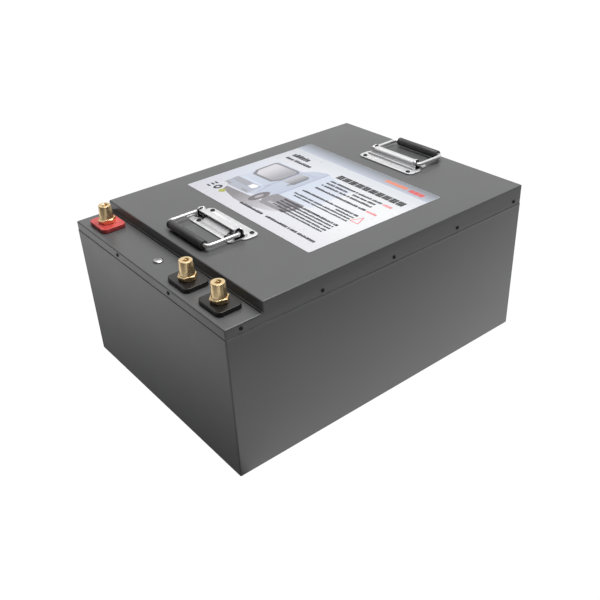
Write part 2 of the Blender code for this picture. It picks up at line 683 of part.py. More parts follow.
# --- inside -----------------------------------------------------------------------------------
def brick_mesh():
    """Three cells bonded side by side, with a low terminal block at each end of every cell."""
    width, depth, height = CELL
    bm = bmesh.new()
    for i in range(CELLS_IN_BRICK):
        y = i * PITCH_Y
        cell = add_box(bm, (-width / 2, y, 0), (width / 2, y + depth, height))
        round_upright_edges(bm, set(cell), 3 * MM, 2)
    cells = bpy.data.objects.new("cells", mesh_of(bm, "cells"))
    bm = bmesh.new()
    inset = Vector((4 * MM, 4 * MM, 4 * MM))
    low, high = Vector((-width / 2, 0, 0)), Vector((width / 2, BRICK_LENGTH, height))
    add_box(bm, low + inset, high - inset)
    bond = bpy.data.objects.new("bond", mesh_of(bm, "bond"))
    mesh = baked_union(cells, bond, "bricks")
    bm = bmesh.new()
    half = CELL_TERMINAL_SIZE / 2
    for i in range(CELLS_IN_BRICK):
        y = i * PITCH_Y + depth / 2
        for u in (-CELL_TERMINAL_U, CELL_TERMINAL_U):
            block_top = height + CELL_TERMINAL_HEIGHT
            add_box(bm, (u - half, y - half, height - 1 * MM), (u + half, y + half, block_top))
    blocks = bpy.data.objects.new("blocks", mesh_of(bm, "blocks"))
    return baked_union(bpy.data.objects.new("brick", mesh), blocks, "cell_brick")


def make_bricks(material):
    mesh = brick_mesh()
    rear_y = FRONT_FACE_Y + BRICK_LENGTH + BRICK_GAP
    places = [(-COLUMN_X, FRONT_FACE_Y), (-COLUMN_X, rear_y), (COLUMN_X, rear_y), (COLUMN_X, FRONT_FACE_Y)]
    for i, (x, y) in enumerate(places, start=1):
        add(f"cell_brick_{i}", mesh, material, (x, y, CELL_BASE_Z))


def make_slab(name, low, high, material, radius=0.0):
    bm = bmesh.new()
    verts = add_box(bm, low, high)
    if radius:
        round_upright_edges(bm, set(verts), radius, 2)
    add(name, mesh_of(bm, name), material)


def make_busbars(copper):
    """Two end bars, two side links and the link across the middle put the four bricks in series."""
    margin = 16 * MM
    first_y = FRONT_FACE_Y + CELL[1] / 2
    last_y = REAR_FACE_Y - CELL[1] / 2
    front_end_y = first_y + 2 * PITCH_Y
    rear_start_y = last_y - 2 * PITCH_Y
    outer_x, inner_x = COLUMN_X + CELL_TERMINAL_U, COLUMN_X - CELL_TERMINAL_U
    half, top = BUSBAR_WIDTH / 2, BUSBAR_Z + BUSBAR_THICKNESS
    bars = {
        "busbar_positive": (-inner_x - half, -inner_x + half, first_y, front_end_y),
        "busbar_negative": (inner_x - half, inner_x + half, first_y, front_end_y),
        "busbar_link_left": (-outer_x - half, -outer_x + half, first_y, last_y),
        "busbar_link_right": (outer_x - half, outer_x + half, first_y, last_y),
        "busbar_link_middle": (-inner_x - half, inner_x + half, rear_start_y, last_y),
    }
    for name, (x0, x1, y0, y1) in bars.items():
        make_slab(name, (x0, y0 - margin, BUSBAR_Z), (x1, y1 + margin, top), copper, 3 * MM)


def make_insulation(foam, board):
    half_x = COLUMN_X + CELL[0] / 2
    pad_top = CELL_BASE_Z - GAP
    make_slab("base_pad", (-half_x, FRONT_FACE_Y, SHEET + GAP), (half_x, REAR_FACE_Y, pad_top), foam)
    cover_z = BUSBAR_Z + BUSBAR_THICKNESS + 7 * MM
    make_slab(
        "cover_board", (-half_x, FRONT_FACE_Y, cover_z), (half_x, REAR_FACE_Y, cover_z + SHEET), board
    )
    board_y = FRONT_FACE_Y - 1 * MM
    make_slab(
        "end_board", (-half_x, board_y - 2 * MM, SHEET + GAP), (half_x, board_y, CELL_TOP_Z), board
    )
    return board_y - 2 * MM


def make_bms(material, board_front_y):
    width, depth, height = BMS_SIZE
    back = board_front_y - GAP
    low, high = (-width / 2, back - depth, BMS_Z), (width / 2, back, BMS_Z + height)
    make_slab("protection_unit", low, high, material, 2 * MM)
    return back - depth


def make_lead(name, points, lug_x, material):
    """A lead that ends in a flat ring lug round a terminal's stud, below the nut."""
    lug_top = SHELF_Z - SHEET - GAP - NUT_HEIGHT - GAP
    tip = (lug_x, TERMINAL_Y + 14 * MM, lug_top - LEAD_RADIUS)
    lead = solidified(wire(name, points + [tip], LEAD_RADIUS, material, 8))
    bm = bmesh.new()
    ring = STUD_RADIUS + 4.5 * MM
    low = (lug_x - ring, TERMINAL_Y - ring, lug_top - LUG_THICKNESS)
    add_box(bm, low, (lug_x + ring, TERMINAL_Y + 17 * MM, lug_top))
    lug = add_cutter(f"lug_{name}", mesh_of(bm, f"lug_{name}"))
    bm = bmesh.new()
    add_cylinder(bm, (lug_x, TERMINAL_Y, lug_top), STUD_RADIUS + 0.5 * MM, 20 * MM, segments=16)
    hole = add_cutter(f"cut_{name}", mesh_of(bm, f"cut_{name}"))
    boolean(lead, lug, "UNION")
    boolean(lead, hole, "DIFFERENCE")


def make_leads(red, black, bms_face_y):
    """Positive lead from its end bar, and the protection unit's leads to the two negatives."""
    inner_x = COLUMN_X - CELL_TERMINAL_U
    bar_end_y = FRONT_FACE_Y + CELL[1] / 2 - 16 * MM - GAP
    bar_z = BUSBAR_Z + LEAD_RADIUS - 1 * MM
    drop_y = TERMINAL_Y + 30 * MM
    low_z = 190 * MM
    positive_x, discharge_x, charge_x = TERMINALS.values()
    start = (-inner_x, bar_end_y, bar_z)
    over = (-inner_x, FRONT_FACE_Y - 8 * MM, bar_z)
    down = (-inner_x - 20 * MM, drop_y - 4 * MM, low_z)
    along = (positive_x + 25 * MM, drop_y, low_z - 4 * MM)
    make_lead("lead_positive", [start, over, down, along], positive_x, red)
    unit_top_z = BMS_Z + BMS_SIZE[2] + GAP
    unit_y = bms_face_y + BMS_SIZE[1] / 2
    for name, from_x, lug_x in (("discharge", 45 * MM, discharge_x), ("charge", 80 * MM, charge_x)):
        make_lead(
            f"lead_{name}",
            [
                (from_x, unit_y, unit_top_z),
                (from_x, unit_y, unit_top_z + 15 * MM),
                ((from_x + lug_x) / 2, unit_y - 6 * MM, unit_top_z + 32 * MM),
            ],
            lug_x,
            black,
        )
    negative_z = BUSBAR_Z + LEAD_RADIUS - 1 * MM
    wire(
        "lead_cell_negative",
        [
            (inner_x, bar_end_y, negative_z),
            (inner_x, FRONT_FACE_Y - 8 * MM, negative_z),
            (inner_x, FRONT_FACE_Y - 15 * MM, negative_z - 10 * MM),
            (8 * MM, unit_y, 185 * MM),
            (8 * MM, unit_y, unit_top_z),
        ],
        LEAD_RADIUS,
        black,
        8,
    )


# --- build ------------------------------------------------------------------------------------
clear_scene()
PARTS = new_collection("battery_pack")
CUTTERS = new_collection("cutters", rendered=False)

PAINT = new_material("case_paint", (0.075, 0.077, 0.08), 0.42)
LABEL = new_material("label_film", (0.78, 0.79, 0.82), 0.35)
RED = new_material("red_plastic", (0.52, 0.05, 0.05), 0.4)
BLACK = new_material("black_plastic", (0.035, 0.03, 0.03), 0.35)
BRASS = new_material("brass", (0.72, 0.53, 0.28), 0.25, 1.0)
CHROME = new_material("chrome", (0.8, 0.8, 0.8), 0.12, 1.0)
RUBBER = new_material("grip_rubber", (0.05, 0.05, 0.05), 0.5)
SCREW_STEEL = new_material("black_steel", (0.02, 0.02, 0.02), 0.35, 0.8)
SPRING_STEEL = new_material("spring_steel", (0.3, 0.3, 0.3), 0.3, 1.0)
VALVE_STEEL = new_material("valve_steel", (0.6, 0.6, 0.6), 0.3, 1.0)
CELL_WRAP = new_material("cell_wrap", (0.02, 0.12, 0.4), 0.4)
COPPER = new_material("busbar_copper", (0.75, 0.4, 0.25), 0.3, 1.0)
FOAM = new_material("foam", (0.03, 0.03, 0.03), 0.9)
BOARD = new_material("glass_epoxy", (0.35, 0.5, 0.25), 0.5)
UNIT = new_material("unit_housing", (0.15, 0.15, 0.16), 0.4)
RED_LEAD = new_material("red_insulation", (0.5, 0.03, 0.03), 0.45)
BLACK_LEAD = new_material("black_insulation", (0.03, 0.03, 0.03), 0.45)

SCREW_HOLES = screw_hole_cutter()
make_case(PAINT, SCREW_HOLES)
make_lid(PAINT, SCREW_HOLES)
make_lid_screws(SCREW_STEEL)
make_label(LABEL)
make_terminals(RED, BLACK, BRASS, VALVE_STEEL)
make_valve(VALVE_STEEL)
make_handles(CHROME, RUBBER, SPRING_STEEL, SCREW_STEEL)
make_bricks(CELL_WRAP)
make_busbars(COPPER)
BOARD_FRONT_Y = make_insulation(FOAM, BOARD)
UNIT_FACE_Y = make_bms(UNIT, BOARD_FRONT_Y)
make_leads(RED_LEAD, BLACK_LEAD, UNIT_FACE_Y)
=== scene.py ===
"""Looks of the lithium battery pack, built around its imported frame.

Every part that shows is a fine mesh in the place of its CAD node, and the parts inside the
case keep their CAD meshes. All materials are procedural. Units are metres, Z is up, and the
terminals are at -Y.
"""

import json
import random
from math import cos, pi, radians, sin

import bmesh
import bpy
from mathutils import Matrix, Vector


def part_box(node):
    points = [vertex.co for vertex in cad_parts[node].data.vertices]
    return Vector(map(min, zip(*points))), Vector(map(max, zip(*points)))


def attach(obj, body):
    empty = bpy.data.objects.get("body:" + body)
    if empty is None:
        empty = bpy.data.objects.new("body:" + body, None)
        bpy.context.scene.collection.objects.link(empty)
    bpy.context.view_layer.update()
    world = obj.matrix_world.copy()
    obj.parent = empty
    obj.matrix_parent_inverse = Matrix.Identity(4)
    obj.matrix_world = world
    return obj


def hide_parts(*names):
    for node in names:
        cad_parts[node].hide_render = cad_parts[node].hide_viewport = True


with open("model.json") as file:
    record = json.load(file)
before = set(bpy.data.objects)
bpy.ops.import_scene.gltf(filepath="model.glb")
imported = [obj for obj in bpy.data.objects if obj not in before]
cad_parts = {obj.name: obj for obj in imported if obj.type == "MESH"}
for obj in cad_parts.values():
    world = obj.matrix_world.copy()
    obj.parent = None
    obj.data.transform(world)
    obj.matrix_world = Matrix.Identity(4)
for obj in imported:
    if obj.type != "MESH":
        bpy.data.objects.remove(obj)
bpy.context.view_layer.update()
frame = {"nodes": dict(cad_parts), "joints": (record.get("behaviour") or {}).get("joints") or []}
MM = 0.001


# --- sizes read from the frame ----------------------------------------------------------------
def middle(node):
    low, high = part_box(node)
    return (low + high) / 2


def nodes_named(start):
    return sorted(n for n in frame["nodes"] if n.startswith(start))


LID_LOW, LID_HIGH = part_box("lid")
CASE_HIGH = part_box("case")[1]
HALF_WIDTH, HALF_LENGTH = CASE_HIGH.x, CASE_HIGH.y
LID_HALF_X, LID_HALF_Y = LID_HIGH.x, LID_HIGH.y
SKIRT_Z, TOP_Z = LID_LOW.z, LID_HIGH.z
PAD_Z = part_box("terminal_pad_positive")[0].z
SHELF_Z = PAD_Z - 0.3 * MM  # the low step of the lid, a hair below the pads

# --- sheet metal ------------------------------------------------------------------------------
SHEET = 1.5 * MM
RISER_Y = -205.9 * MM
BEND = 1.7 * MM  # outside radius of the lid's and the case's bends
BROW_BEND = 2.0 * MM  # the softer bend at the top of the riser
LEDGE_DEPTH = 1.5 * MM  # hem at the foot of the riser, out from it and up
LEDGE_HEIGHT = 1.4 * MM
GROOVE = (1.2 * MM, 1.1 * MM)  # width and depth of the joint in front of the hem
CORNER_RADIUS = 2.2 * MM
WALL_TOP_Z = SKIRT_Z - 0.25 * MM  # the seam is the gap between the two
BEAD = (0.2 * MM, 2.2 * MM)  # how far the wall swells out below the seam, and over what height
JOGGLE = 0.7 * MM  # radius of the turn where the wall steps in under the skirt
RIM_INSET = 2.3 * MM  # of the rim inside the skirt, from the wall's face
BEND_STEPS = 6
SCREW_HOLE_RADIUS = 1.9 * MM
RIVET_HOLE_RADIUS = 2.4 * MM
TERMINALS = ("positive", "discharge", "charge")

# --- handle, in its own frame: u across, v away from the label, w up ---------------------------
PIVOT_W = 7.3 * MM
PLATE_BACK = (57.5 * MM, -27 * MM, 0.5 * MM, 8.5 * MM)  # half width, first v, last v, corner
PLATE_FRONT = (51 * MM, -9 * MM, 18 * MM, 6 * MM)
PANEL = (42.5 * MM, -22.5 * MM, -14.2 * MM, 1.5 * MM, 0.5 * MM)  # hollow: the same, and its depth
RIVETS = ((47 * MM, -21 * MM), (33.5 * MM, 10.6 * MM))
RIVET_HEIGHT = 1.3 * MM
HOOD_TOP = 12.6 * MM
HOOD_BACK_V = -8.5 * MM
HOOD_BEND = 7.2 * MM  # outside radius of the curl
HOOD_HALF = 45.8 * MM
LIP_HALF = 42.4 * MM  # the hood reaches further forward between the ears
EAR_U = (43.1 * MM, 45.8 * MM)  # inner and outer face
EAR_CENTRE = (-0.6 * MM, 8.3 * MM)  # v and w of the ear's round top
EAR_RADIUS = 6.4 * MM
BUSH_RADIUS = 6.1 * MM
BULB_RADII = (4.6 * MM, 3.9 * MM, 6.2 * MM)  # rounded end of the hood behind each ear
BULB_CENTRE = (45.0 * MM, -4.9 * MM, 7.6 * MM)
PLINTH_HALF = 49.5 * MM  # raised strip behind the hood
RAMP_HALF = 29 * MM  # ramp that closes the hood in front, between the springs
SUNK_W = 0.8 * MM  # foot of what stands on the flanges, within their thickness
LEG_U = 49 * MM
LEG_LENGTH = 50 * MM
WIRE_RADIUS = 2.8 * MM
STUB_U = 33 * MM
GRIP_LENGTH = 84.6 * MM
GRIP_RADIUS = 6.3 * MM


# --- mesh helpers -----------------------------------------------------------------------------
def mesh_of(bm, name, smooth_angle=radians(35)):
    """A mesh from the bmesh, faces out, with round faces shaded smooth."""
    bmesh.ops.recalc_face_normals(bm, faces=bm.faces)
    mesh = bpy.data.meshes.new(name)
    bm.to_mesh(mesh)
    bm.free()
    mesh.shade_smooth()
    mesh.set_sharp_from_angle(angle=smooth_angle)
    return mesh


def linked(name, data):
    """A new object that holds the data, put in the scene."""
    obj = bpy.data.objects.new(name, data)
    bpy.context.scene.collection.objects.link(obj)
    return obj


def add(name, mesh, material, slot, body="pack", replaced=(), location=(0, 0, 0), turn=0.0):
    """Places a piece, lets it ride on its body and hides the CAD nodes it stands for."""
    obj = linked(name, mesh)
    obj.location = location
    obj.rotation_euler.z = turn
    if not mesh.materials:
        mesh.materials.append(material)
    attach(obj, body)
    if replaced:
        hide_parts(*replaced)
    return obj


def arc(centre, radius, start, end, steps):
    """2-D points on an arc, from one angle in degrees to another."""
    points = []
    for i in range(steps + 1):
        a = radians(start + (end - start) * i / steps)
        points.append((centre[0] + radius * cos(a), centre[1] + radius * sin(a)))
    return points


def rounded_outline(half_x, low_y, high_y, radius, steps=8):
    """Points of a rounded rectangle, anticlockwise."""
    points = arc((half_x - radius, low_y + radius), radius, -90, 0, steps)
    points += arc((half_x - radius, high_y - radius), radius, 0, 90, steps)
    points += arc((-half_x + radius, high_y - radius), radius, 90, 180, steps)
    points += arc((-half_x + radius, low_y + radius), radius, 180, 270, steps)
    return points


def box_shape(x0, x1, y0, y1):
    return [(x0, y0), (x1, y0), (x1, y1), (x0, y1)]


def loft(bm, rings, close_ends=True):
    """Joins rings of points, each closed and of the same length, into one skin."""
    made = [[bm.verts.new(p) for p in ring] for ring in rings]
    for low, high in zip(made, made[1:]):
        for i in range(len(low)):
            j = (i + 1) % len(low)
            bm.faces.new((low[i], low[j], high[j], high[i]))
    if close_ends:
        bm.faces.new(made[0])
        bm.faces.new(made[-1])
    return made


def flat_plate(name, outline, low, high, edge, steps):
    """A plate on an anticlockwise outline, its lower and upper rims rounded by the edge radius."""

    def ring(inset, height):
        points = []
        for i, p in enumerate(outline):
            before, after = Vector(outline[i - 1]), Vector(outline[(i + 1) % len(outline)])
            along = (after - before).normalized()
            q = Vector(p) + Vector((-along.y, along.x)) * inset
            points.append((q.x, q.y, height))
        return points

    angles = [pi / 2 * i / steps for i in range(steps + 1)]
    rings = [ring(edge * (1 - sin(a)), low + edge * (1 - cos(a))) for a in angles]
    rings += [ring(edge * (1 - cos(a)), high - edge * (1 - sin(a))) for a in angles]
    bm = bmesh.new()
    loft(bm, rings)
    return mesh_of(bm, name)


def extrusion(bm, outline, low, high, axis="Z"):
    """A straight prism on a 2-D outline; along X the outline is drawn in (y, z)."""
    if axis == "X":
        loft(bm, [[(end, a, b) for a, b in outline] for end in (low, high)])
    else:
        loft(bm, [[(a, b, end) for a, b in outline] for end in (low, high)])


def prism(name, outline, low, high, axis="Z"):
    bm = bmesh.new()
    extrusion(bm, outline, low, high, axis)
    return mesh_of(bm, name)


def cylinder(bm, centre, radius, length, axis="Z", segments=32):
    made = bmesh.ops.create_cone(
        bm, cap_ends=True, segments=segments, radius1=radius, radius2=radius, depth=length
    )["verts"]
    if axis == "X":
        bmesh.ops.rotate(bm, matrix=Matrix.Rotation(pi / 2, 3, "Y"), verts=made)
    if axis == "Y":
        bmesh.ops.rotate(bm, matrix=Matrix.Rotation(-pi / 2, 3, "X"), verts=made)
    bmesh.ops.translate(bm, vec=Vector(centre), verts=made)


def turned(name, profile, segments, axis="Z", smooth_angle=radians(35)):
    """Spins a (radius, height) profile, which is closed or starts and ends on the axis."""
    bm = bmesh.new()
    rings = []
    for k in range(segments):
        a = 2 * pi * k / segments
        rings.append([bm.verts.new((r * cos(a), r * sin(a), h)) for r, h in profile])
    for k in range(segments):
        here, there = rings[k], rings[(k + 1) % segments]
        for i in range(len(profile) - 1):
            bm.faces.new((here[i], there[i], there[i + 1], here[i + 1]))
    bmesh.ops.remove_doubles(bm, verts=bm.verts, dist=1e-7)
    if axis == "X":
        bmesh.ops.rotate(bm, matrix=Matrix.Rotation(pi / 2, 3, "Y"), verts=bm.verts)
    return mesh_of(bm, name, smooth_angle)


def tube(bm, points, radius, sides=16):
    """A round bar with flat ends along a list of points; radius may vary from point to point."""
    points = [Vector(p) for p in points]
    radii = radius if isinstance(radius, list) else [radius] * len(points)
    side = None
    rings = []
    for i, p in enumerate(points):
        along = (points[min(i + 1, len(points) - 1)] - points[max(i - 1, 0)]).normalized()
        if side is None:
            side = along.orthogonal()
        side = (side - along * side.dot(along)).normalized()
        other = along.cross(side)
        turns = [2 * pi * k / sides for k in range(sides)]
        rings.append([p + (side * cos(a) + other * sin(a)) * radii[i] for a in turns])
    loft(bm, rings)


def evaluated_mesh(obj, name):
    """The object's mesh with its modifiers applied."""
    bpy.context.view_layer.update()
    graph = bpy.context.evaluated_depsgraph_get()
    mesh = bpy.data.meshes.new_from_object(obj.evaluated_get(graph))
    mesh.name = name
    return mesh


def combined(name, first, joined=(), cut=(), smooth_angle=radians(35)):
    """The mesh of the first solid with others joined to it and others cut from it."""
    body = linked("body", first)
    helpers = [body]
    for operation, meshes in (("UNION", joined), ("DIFFERENCE", cut)):
        for mesh in meshes:
            helpers.append(linked("helper", mesh))
            modifier = body.modifiers.new(operation.lower(), "BOOLEAN")
            modifier.operation = operation
            modifier.solver = "EXACT"
            modifier.object = helpers[-1]
    made = evaluated_mesh(body, name)
    for obj in helpers:
        bpy.data.objects.remove(obj, do_unlink=True)
    made.materials.clear()
    made.shade_smooth()
    made.set_sharp_from_angle(angle=smooth_angle)
    return made


def sheet_mesh(bm, name):
    """Thickens an open skin inwards by the sheet's thickness."""
    obj = linked("skin", mesh_of(bm, name))
    shell = obj.modifiers.new("sheet", "SOLIDIFY")
    shell.thickness = SHEET
    shell.offset = -1
    shell.use_even_offset = True
    made = evaluated_mesh(obj, name)
    bpy.data.objects.remove(obj, do_unlink=True)
    return made


# --- materials --------------------------------------------------------------------------------
class Graph:
    """Short calls for building a node tree."""

    def __init__(self, tree):
        self.nodes, self.links = tree.nodes, tree.links

    def feed(self, socket, value):
        """Links an output to the socket, or sets the socket to a plain value."""
        if isinstance(value, bpy.types.NodeSocket):
            self.links.new(value, socket)
        else:
            socket.default_value = value

    def node(self, kind, inputs, **settings):
        made = self.nodes.new("ShaderNode" + kind)
        for name, value in settings.items():
            setattr(made, name, value)
        for name, value in inputs.items():
            self.feed(made.inputs[name], value)
        return made

    def between(self, value, start, end, low, high, curve="SMOOTHSTEP"):
        """Number that runs from low, where value is start, to high, where it is end."""
        inputs = {0: value, 1: start, 2: end, 3: low, 4: high}
        return self.node("MapRange", inputs, interpolation_type=curve).outputs["Result"]

    def mix(self, factor, first, second, kind="FLOAT"):
        inputs = {"Factor": factor, "A": first, "B": second}
        return self.node("Mix", inputs, data_type=kind).outputs["Result"]


class Surface(Graph):
    """A Principled material whose colour, roughness and relief come from noise on the object."""

    def __init__(self, name, metallic=0.0):
        self.material = bpy.data.materials.new(name)
        self.material.use_nodes = True
        super().__init__(self.material.node_tree)
        self.shader = self.nodes["Principled BSDF"].inputs
        self.shader["Metallic"].default_value = metallic
        self.place = self.node("TexCoord", {}).outputs["Object"]

    def stretched(self, x, y, z):
        """Object coordinates scaled along each axis, for grain that runs one way."""
        return self.node("Mapping", {"Vector": self.place, "Scale": (x, y, z)}).outputs["Vector"]

    def noise(self, size, detail, place=None):
        """Noise whose grains are about size across."""
        inputs = {"Vector": place or self.place, "Scale": 1 / size, "Detail": detail}
        return self.node("TexNoise", inputs).outputs["Fac"]

    def ramp(self, value, stops):
        """Colour ramp from (position, linear colour) stops."""
        node = self.node("ValToRGB", {"Fac": value})
        elements = node.color_ramp.elements
        while len(elements) < len(stops):
            elements.new(0.5)
        for element, (position, colour) in zip(elements, stops):
            element.position = position
            element.color = (*colour, 1.0)
        return node.outputs["Color"]

    def share(self, axis, start, end):
        """0 to 1 between two places on an axis of the object."""
        along = self.node("SeparateXYZ", {"Vector": self.place}).outputs[axis]
        return self.between(along, start, end, 0, 1, "LINEAR")

    def mottled(self, value, colour, spread):
        """Shades of a colour, darker and lighter by the spread."""
        return self.ramp(value, [(0.3, scaled(colour, 1 - spread)), (0.7, scaled(colour, 1 + spread))])

    def colour(self, value, dark, light):
        """Base colour running from dark to light with the noise."""
        self.feed(self.shader["Base Color"], self.ramp(value, [(0.3, dark), (0.7, light)]))

    def roughness(self, value, low, high):
        self.feed(self.shader["Roughness"], self.between(value, 0.3, 0.7, low, high, "LINEAR"))

    def bump(self, value, depth, strength):
        node = self.node("Bump", {"Height": value, "Distance": depth, "Strength": strength})
        self.feed(self.shader["Normal"], node.outputs["Normal"])


def linear(red, green, blue):
    """Linear colour from 0-255 display values above 10."""
    return tuple(((v / 255 + 0.055) / 1.055) ** 2.4 for v in (red, green, blue))


def scaled(colour, factor):
    return tuple(min(1.0, c * factor) for c in colour)


def paint_material():
    """Semi-gloss powder coat: faint orange peel and slow mottling."""
    s = Surface("case_paint")
    grey = (0.118, 0.119, 0.121)
    s.feed(s.shader["Base Color"], s.mottled(s.noise(60 * MM, 2), grey, 0.02))
    s.roughness(s.noise(30 * MM, 2), 0.28, 0.32)
    s.bump(s.noise(2.2 * MM, 1), 0.02 * MM, 0.12)
    return s.material


def plastic_material(name, colour, rough=(0.3, 0.42), spread=0.12, grain=0.45 * MM):
    """Moulded plastic with a fine spark-eroded grain."""
    s = Surface(name)
    s.feed(s.shader["Base Color"], s.mottled(s.noise(9 * MM, 4), colour, spread))
    s.roughness(s.noise(3 * MM, 3), *rough)
    s.bump(s.noise(grain, 3), 0.03 * MM, 0.5)
    return s.material


def chrome_material():
    """Bright nickel-chrome plate with faint polishing haze."""
    s = Surface("chrome", metallic=0.66)
    s.colour(s.noise(12 * MM, 3), (0.82, 0.82, 0.83), (0.90, 0.90, 0.91))
    s.roughness(s.noise(5 * MM, 5), 0.28, 0.38)
    s.bump(s.noise(9 * MM, 1), 0.03 * MM, 0.12)
    return s.material


def brass_material():
    """Turned brass, with tool marks round the post."""
    s = Surface("brass", metallic=0.82)
    s.colour(s.noise(4 * MM, 4), (0.94, 0.67, 0.35), (1.0, 0.79, 0.47))
    s.roughness(s.noise(2 * MM, 4), 0.2, 0.3)
    s.bump(s.noise(2 * MM, 1, s.stretched(0.05, 0.05, 3.0)), 0.02 * MM, 0.15)
    return s.material


def steel_material(name, colour, rough, metallic=1.0, grain=2 * MM):
    """Bare or blackened steel or copper, slightly uneven."""
    s = Surface(name, metallic)
    s.feed(s.shader["Base Color"], s.mottled(s.noise(grain * 3, 4), colour, 0.15))
    s.roughness(s.noise(grain, 4), *rough)
    s.bump(s.noise(grain * 0.4, 2), 0.01 * MM, 0.4)
    return s.material


def rubber_material():
    """Black vinyl sleeve, slightly polished by hands."""
    s = Surface("grip_rubber")
    s.colour(s.noise(8 * MM, 4), (0.05, 0.05, 0.051), (0.064, 0.064, 0.065))
    s.roughness(s.noise(6 * MM, 4), 0.34, 0.5)
    s.bump(s.noise(0.5 * MM, 2), 0.03 * MM, 0.5)
    return s.material


def film_material():
    """Satin polyester film, lilac on the left and at the near edge, white on the right."""
    s = Surface("label_film")
    across, along = s.share("X", -140 * MM, 130 * MM), s.share("Y", -115 * MM, 85 * MM)
    lilac, pale_lilac, white = linear(210, 208, 216), linear(220, 219, 224), linear(231, 232, 234)
    sky, cloud = linear(205, 210, 222), linear(214, 216, 223)
    far_left, far_right = linear(208, 211, 217), linear(211, 214, 219)
    left = s.ramp(along, [(0.0, lilac), (0.45, sky), (0.75, cloud), (1.0, far_left)])
    right = s.ramp(along, [(0.0, pale_lilac), (0.4, white), (0.75, white), (1.0, far_right)])
    s.feed(s.shader["Base Color"], s.mix(across, left, right, "RGBA"))
    s.roughness(s.noise(20 * MM, 4), 0.26, 0.36)
    s.bump(s.noise(18 * MM, 2), 0.03 * MM, 0.3)
    return s.material


def ink_material(name, shade, spread=0.06, blend=None):
    """Printed ink. blend is (axis, start, end, shade) for ink that changes along the label;
    shades are display values and the places on the axis are in millimetres."""
    s = Surface(name)
    tone = s.mottled(s.noise(3 * MM, 3), linear(*shade), spread)
    if blend:
        axis, start, end, other = blend
        far = s.mottled(s.noise(3 * MM, 3), linear(*other), spread)
        tone = s.mix(s.share(axis, start * MM, end * MM), tone, far, "RGBA")
    s.feed(s.shader["Base Color"], tone)
    s.roughness(s.noise(20 * MM, 4), 0.28, 0.38)
    return s.material


# --- lid --------------------------------------------------------------------------------------
def lid_section(inset):
    """The lid's section in (y, z), from the front skirt over the step to the rear skirt."""
    front, rear = -LID_HALF_Y + inset, LID_HALF_Y - inset
    shelf = SHELF_Z - inset
    riser, hem = RISER_Y + inset, RISER_Y - LEDGE_DEPTH + inset
    hem_radius = 0.35 * MM
    points = [(front, SKIRT_Z)]
    points += arc((-LID_HALF_Y + BEND, SHELF_Z - BEND), BEND - inset, 180, 90, BEND_STEPS)
    points.append((hem, shelf))
    points += arc((hem + hem_radius, shelf + LEDGE_HEIGHT - hem_radius), hem_radius, 180, 90, 3)
    points += [(riser - 0.2 * MM, shelf + LEDGE_HEIGHT), (riser, shelf + LEDGE_HEIGHT + 0.2 * MM)]
    points += arc((RISER_Y + BROW_BEND, TOP_Z - BROW_BEND), BROW_BEND - inset, 180, 90, 2 * BEND_STEPS)
    points += arc((LID_HALF_Y - BEND, TOP_Z - BEND), BEND - inset, 90, 0, BEND_STEPS)
    points.append((rear, SKIRT_Z))
    return points


def lid_skin():
    """The lid's sheet: its section swept across, drawn in along the bends to the side walls."""
    bm = bmesh.new()
    rows = []
    angles = [pi / 2 * i / BEND_STEPS for i in range(BEND_STEPS + 1)]
    for side, bend in ((-1, reversed(angles)), (1, angles)):
        for a in bend:
            x = side * (LID_HALF_X - BEND + BEND * sin(a))
            section = lid_section((BEND - 0.01 * MM) * (1 - cos(a)))
            rows.append([(x, y, z) for y, z in section])
    made = [[bm.verts.new(p) for p in row] for row in rows]
    for here, there in zip(made, made[1:]):
        for i in range(len(here) - 1):
            bm.faces.new((here[i], there[i], there[i + 1], here[i + 1]))
    bm.faces.new(made[0])
    bm.faces.new(made[-1])
    bmesh.ops.remove_doubles(bm, verts=bm.verts, dist=2e-5)
    return sheet_mesh(bm, "lid_cover")


def in_long_wall(place):
    return abs(place.x) > LID_HALF_X - 10 * MM


def cut_screw_holes(bm):
    """Clearance holes for the lid's screws, along X in the long walls and along Y in the short ones."""
    for node in nodes_named("lid_screw_"):
        place = middle(node)
        axis = "X" if in_long_wall(place) else "Y"
        cylinder(bm, place, SCREW_HOLE_RADIUS, 14 * MM, axis, 16)


def make_lid(paint):
    """Folded cover with its holes and the joint in front of the riser's hem."""
    bm = bmesh.new()
    for name in TERMINALS:
        place = middle(f"terminal_{name}")
        cylinder(bm, (place.x, place.y, SHELF_Z), 6 * MM, 10 * MM)
    valve = middle("vent_valve")
    cylinder(bm, (valve.x, valve.y, SHELF_Z), 5 * MM, 10 * MM)
    for node in nodes_named("handle_rivet_"):
        place = middle(node)
        cylinder(bm, (place.x, place.y, TOP_Z), RIVET_HOLE_RADIUS, 10 * MM, segments=16)
    cut_screw_holes(bm)
    width, depth = GROOVE
    hem, half = RISER_Y - LEDGE_DEPTH, LID_HALF_X - BEND
    joint = prism("hem_joint", box_shape(-half, half, hem - width, hem), SHELF_Z - depth, SHELF_Z + MM)
    mesh = combined("lid_cover", lid_skin(), cut=[mesh_of(bm, "lid_holes"), joint])
    add("lid_cover", mesh, paint, "case_paint", replaced=("lid",))


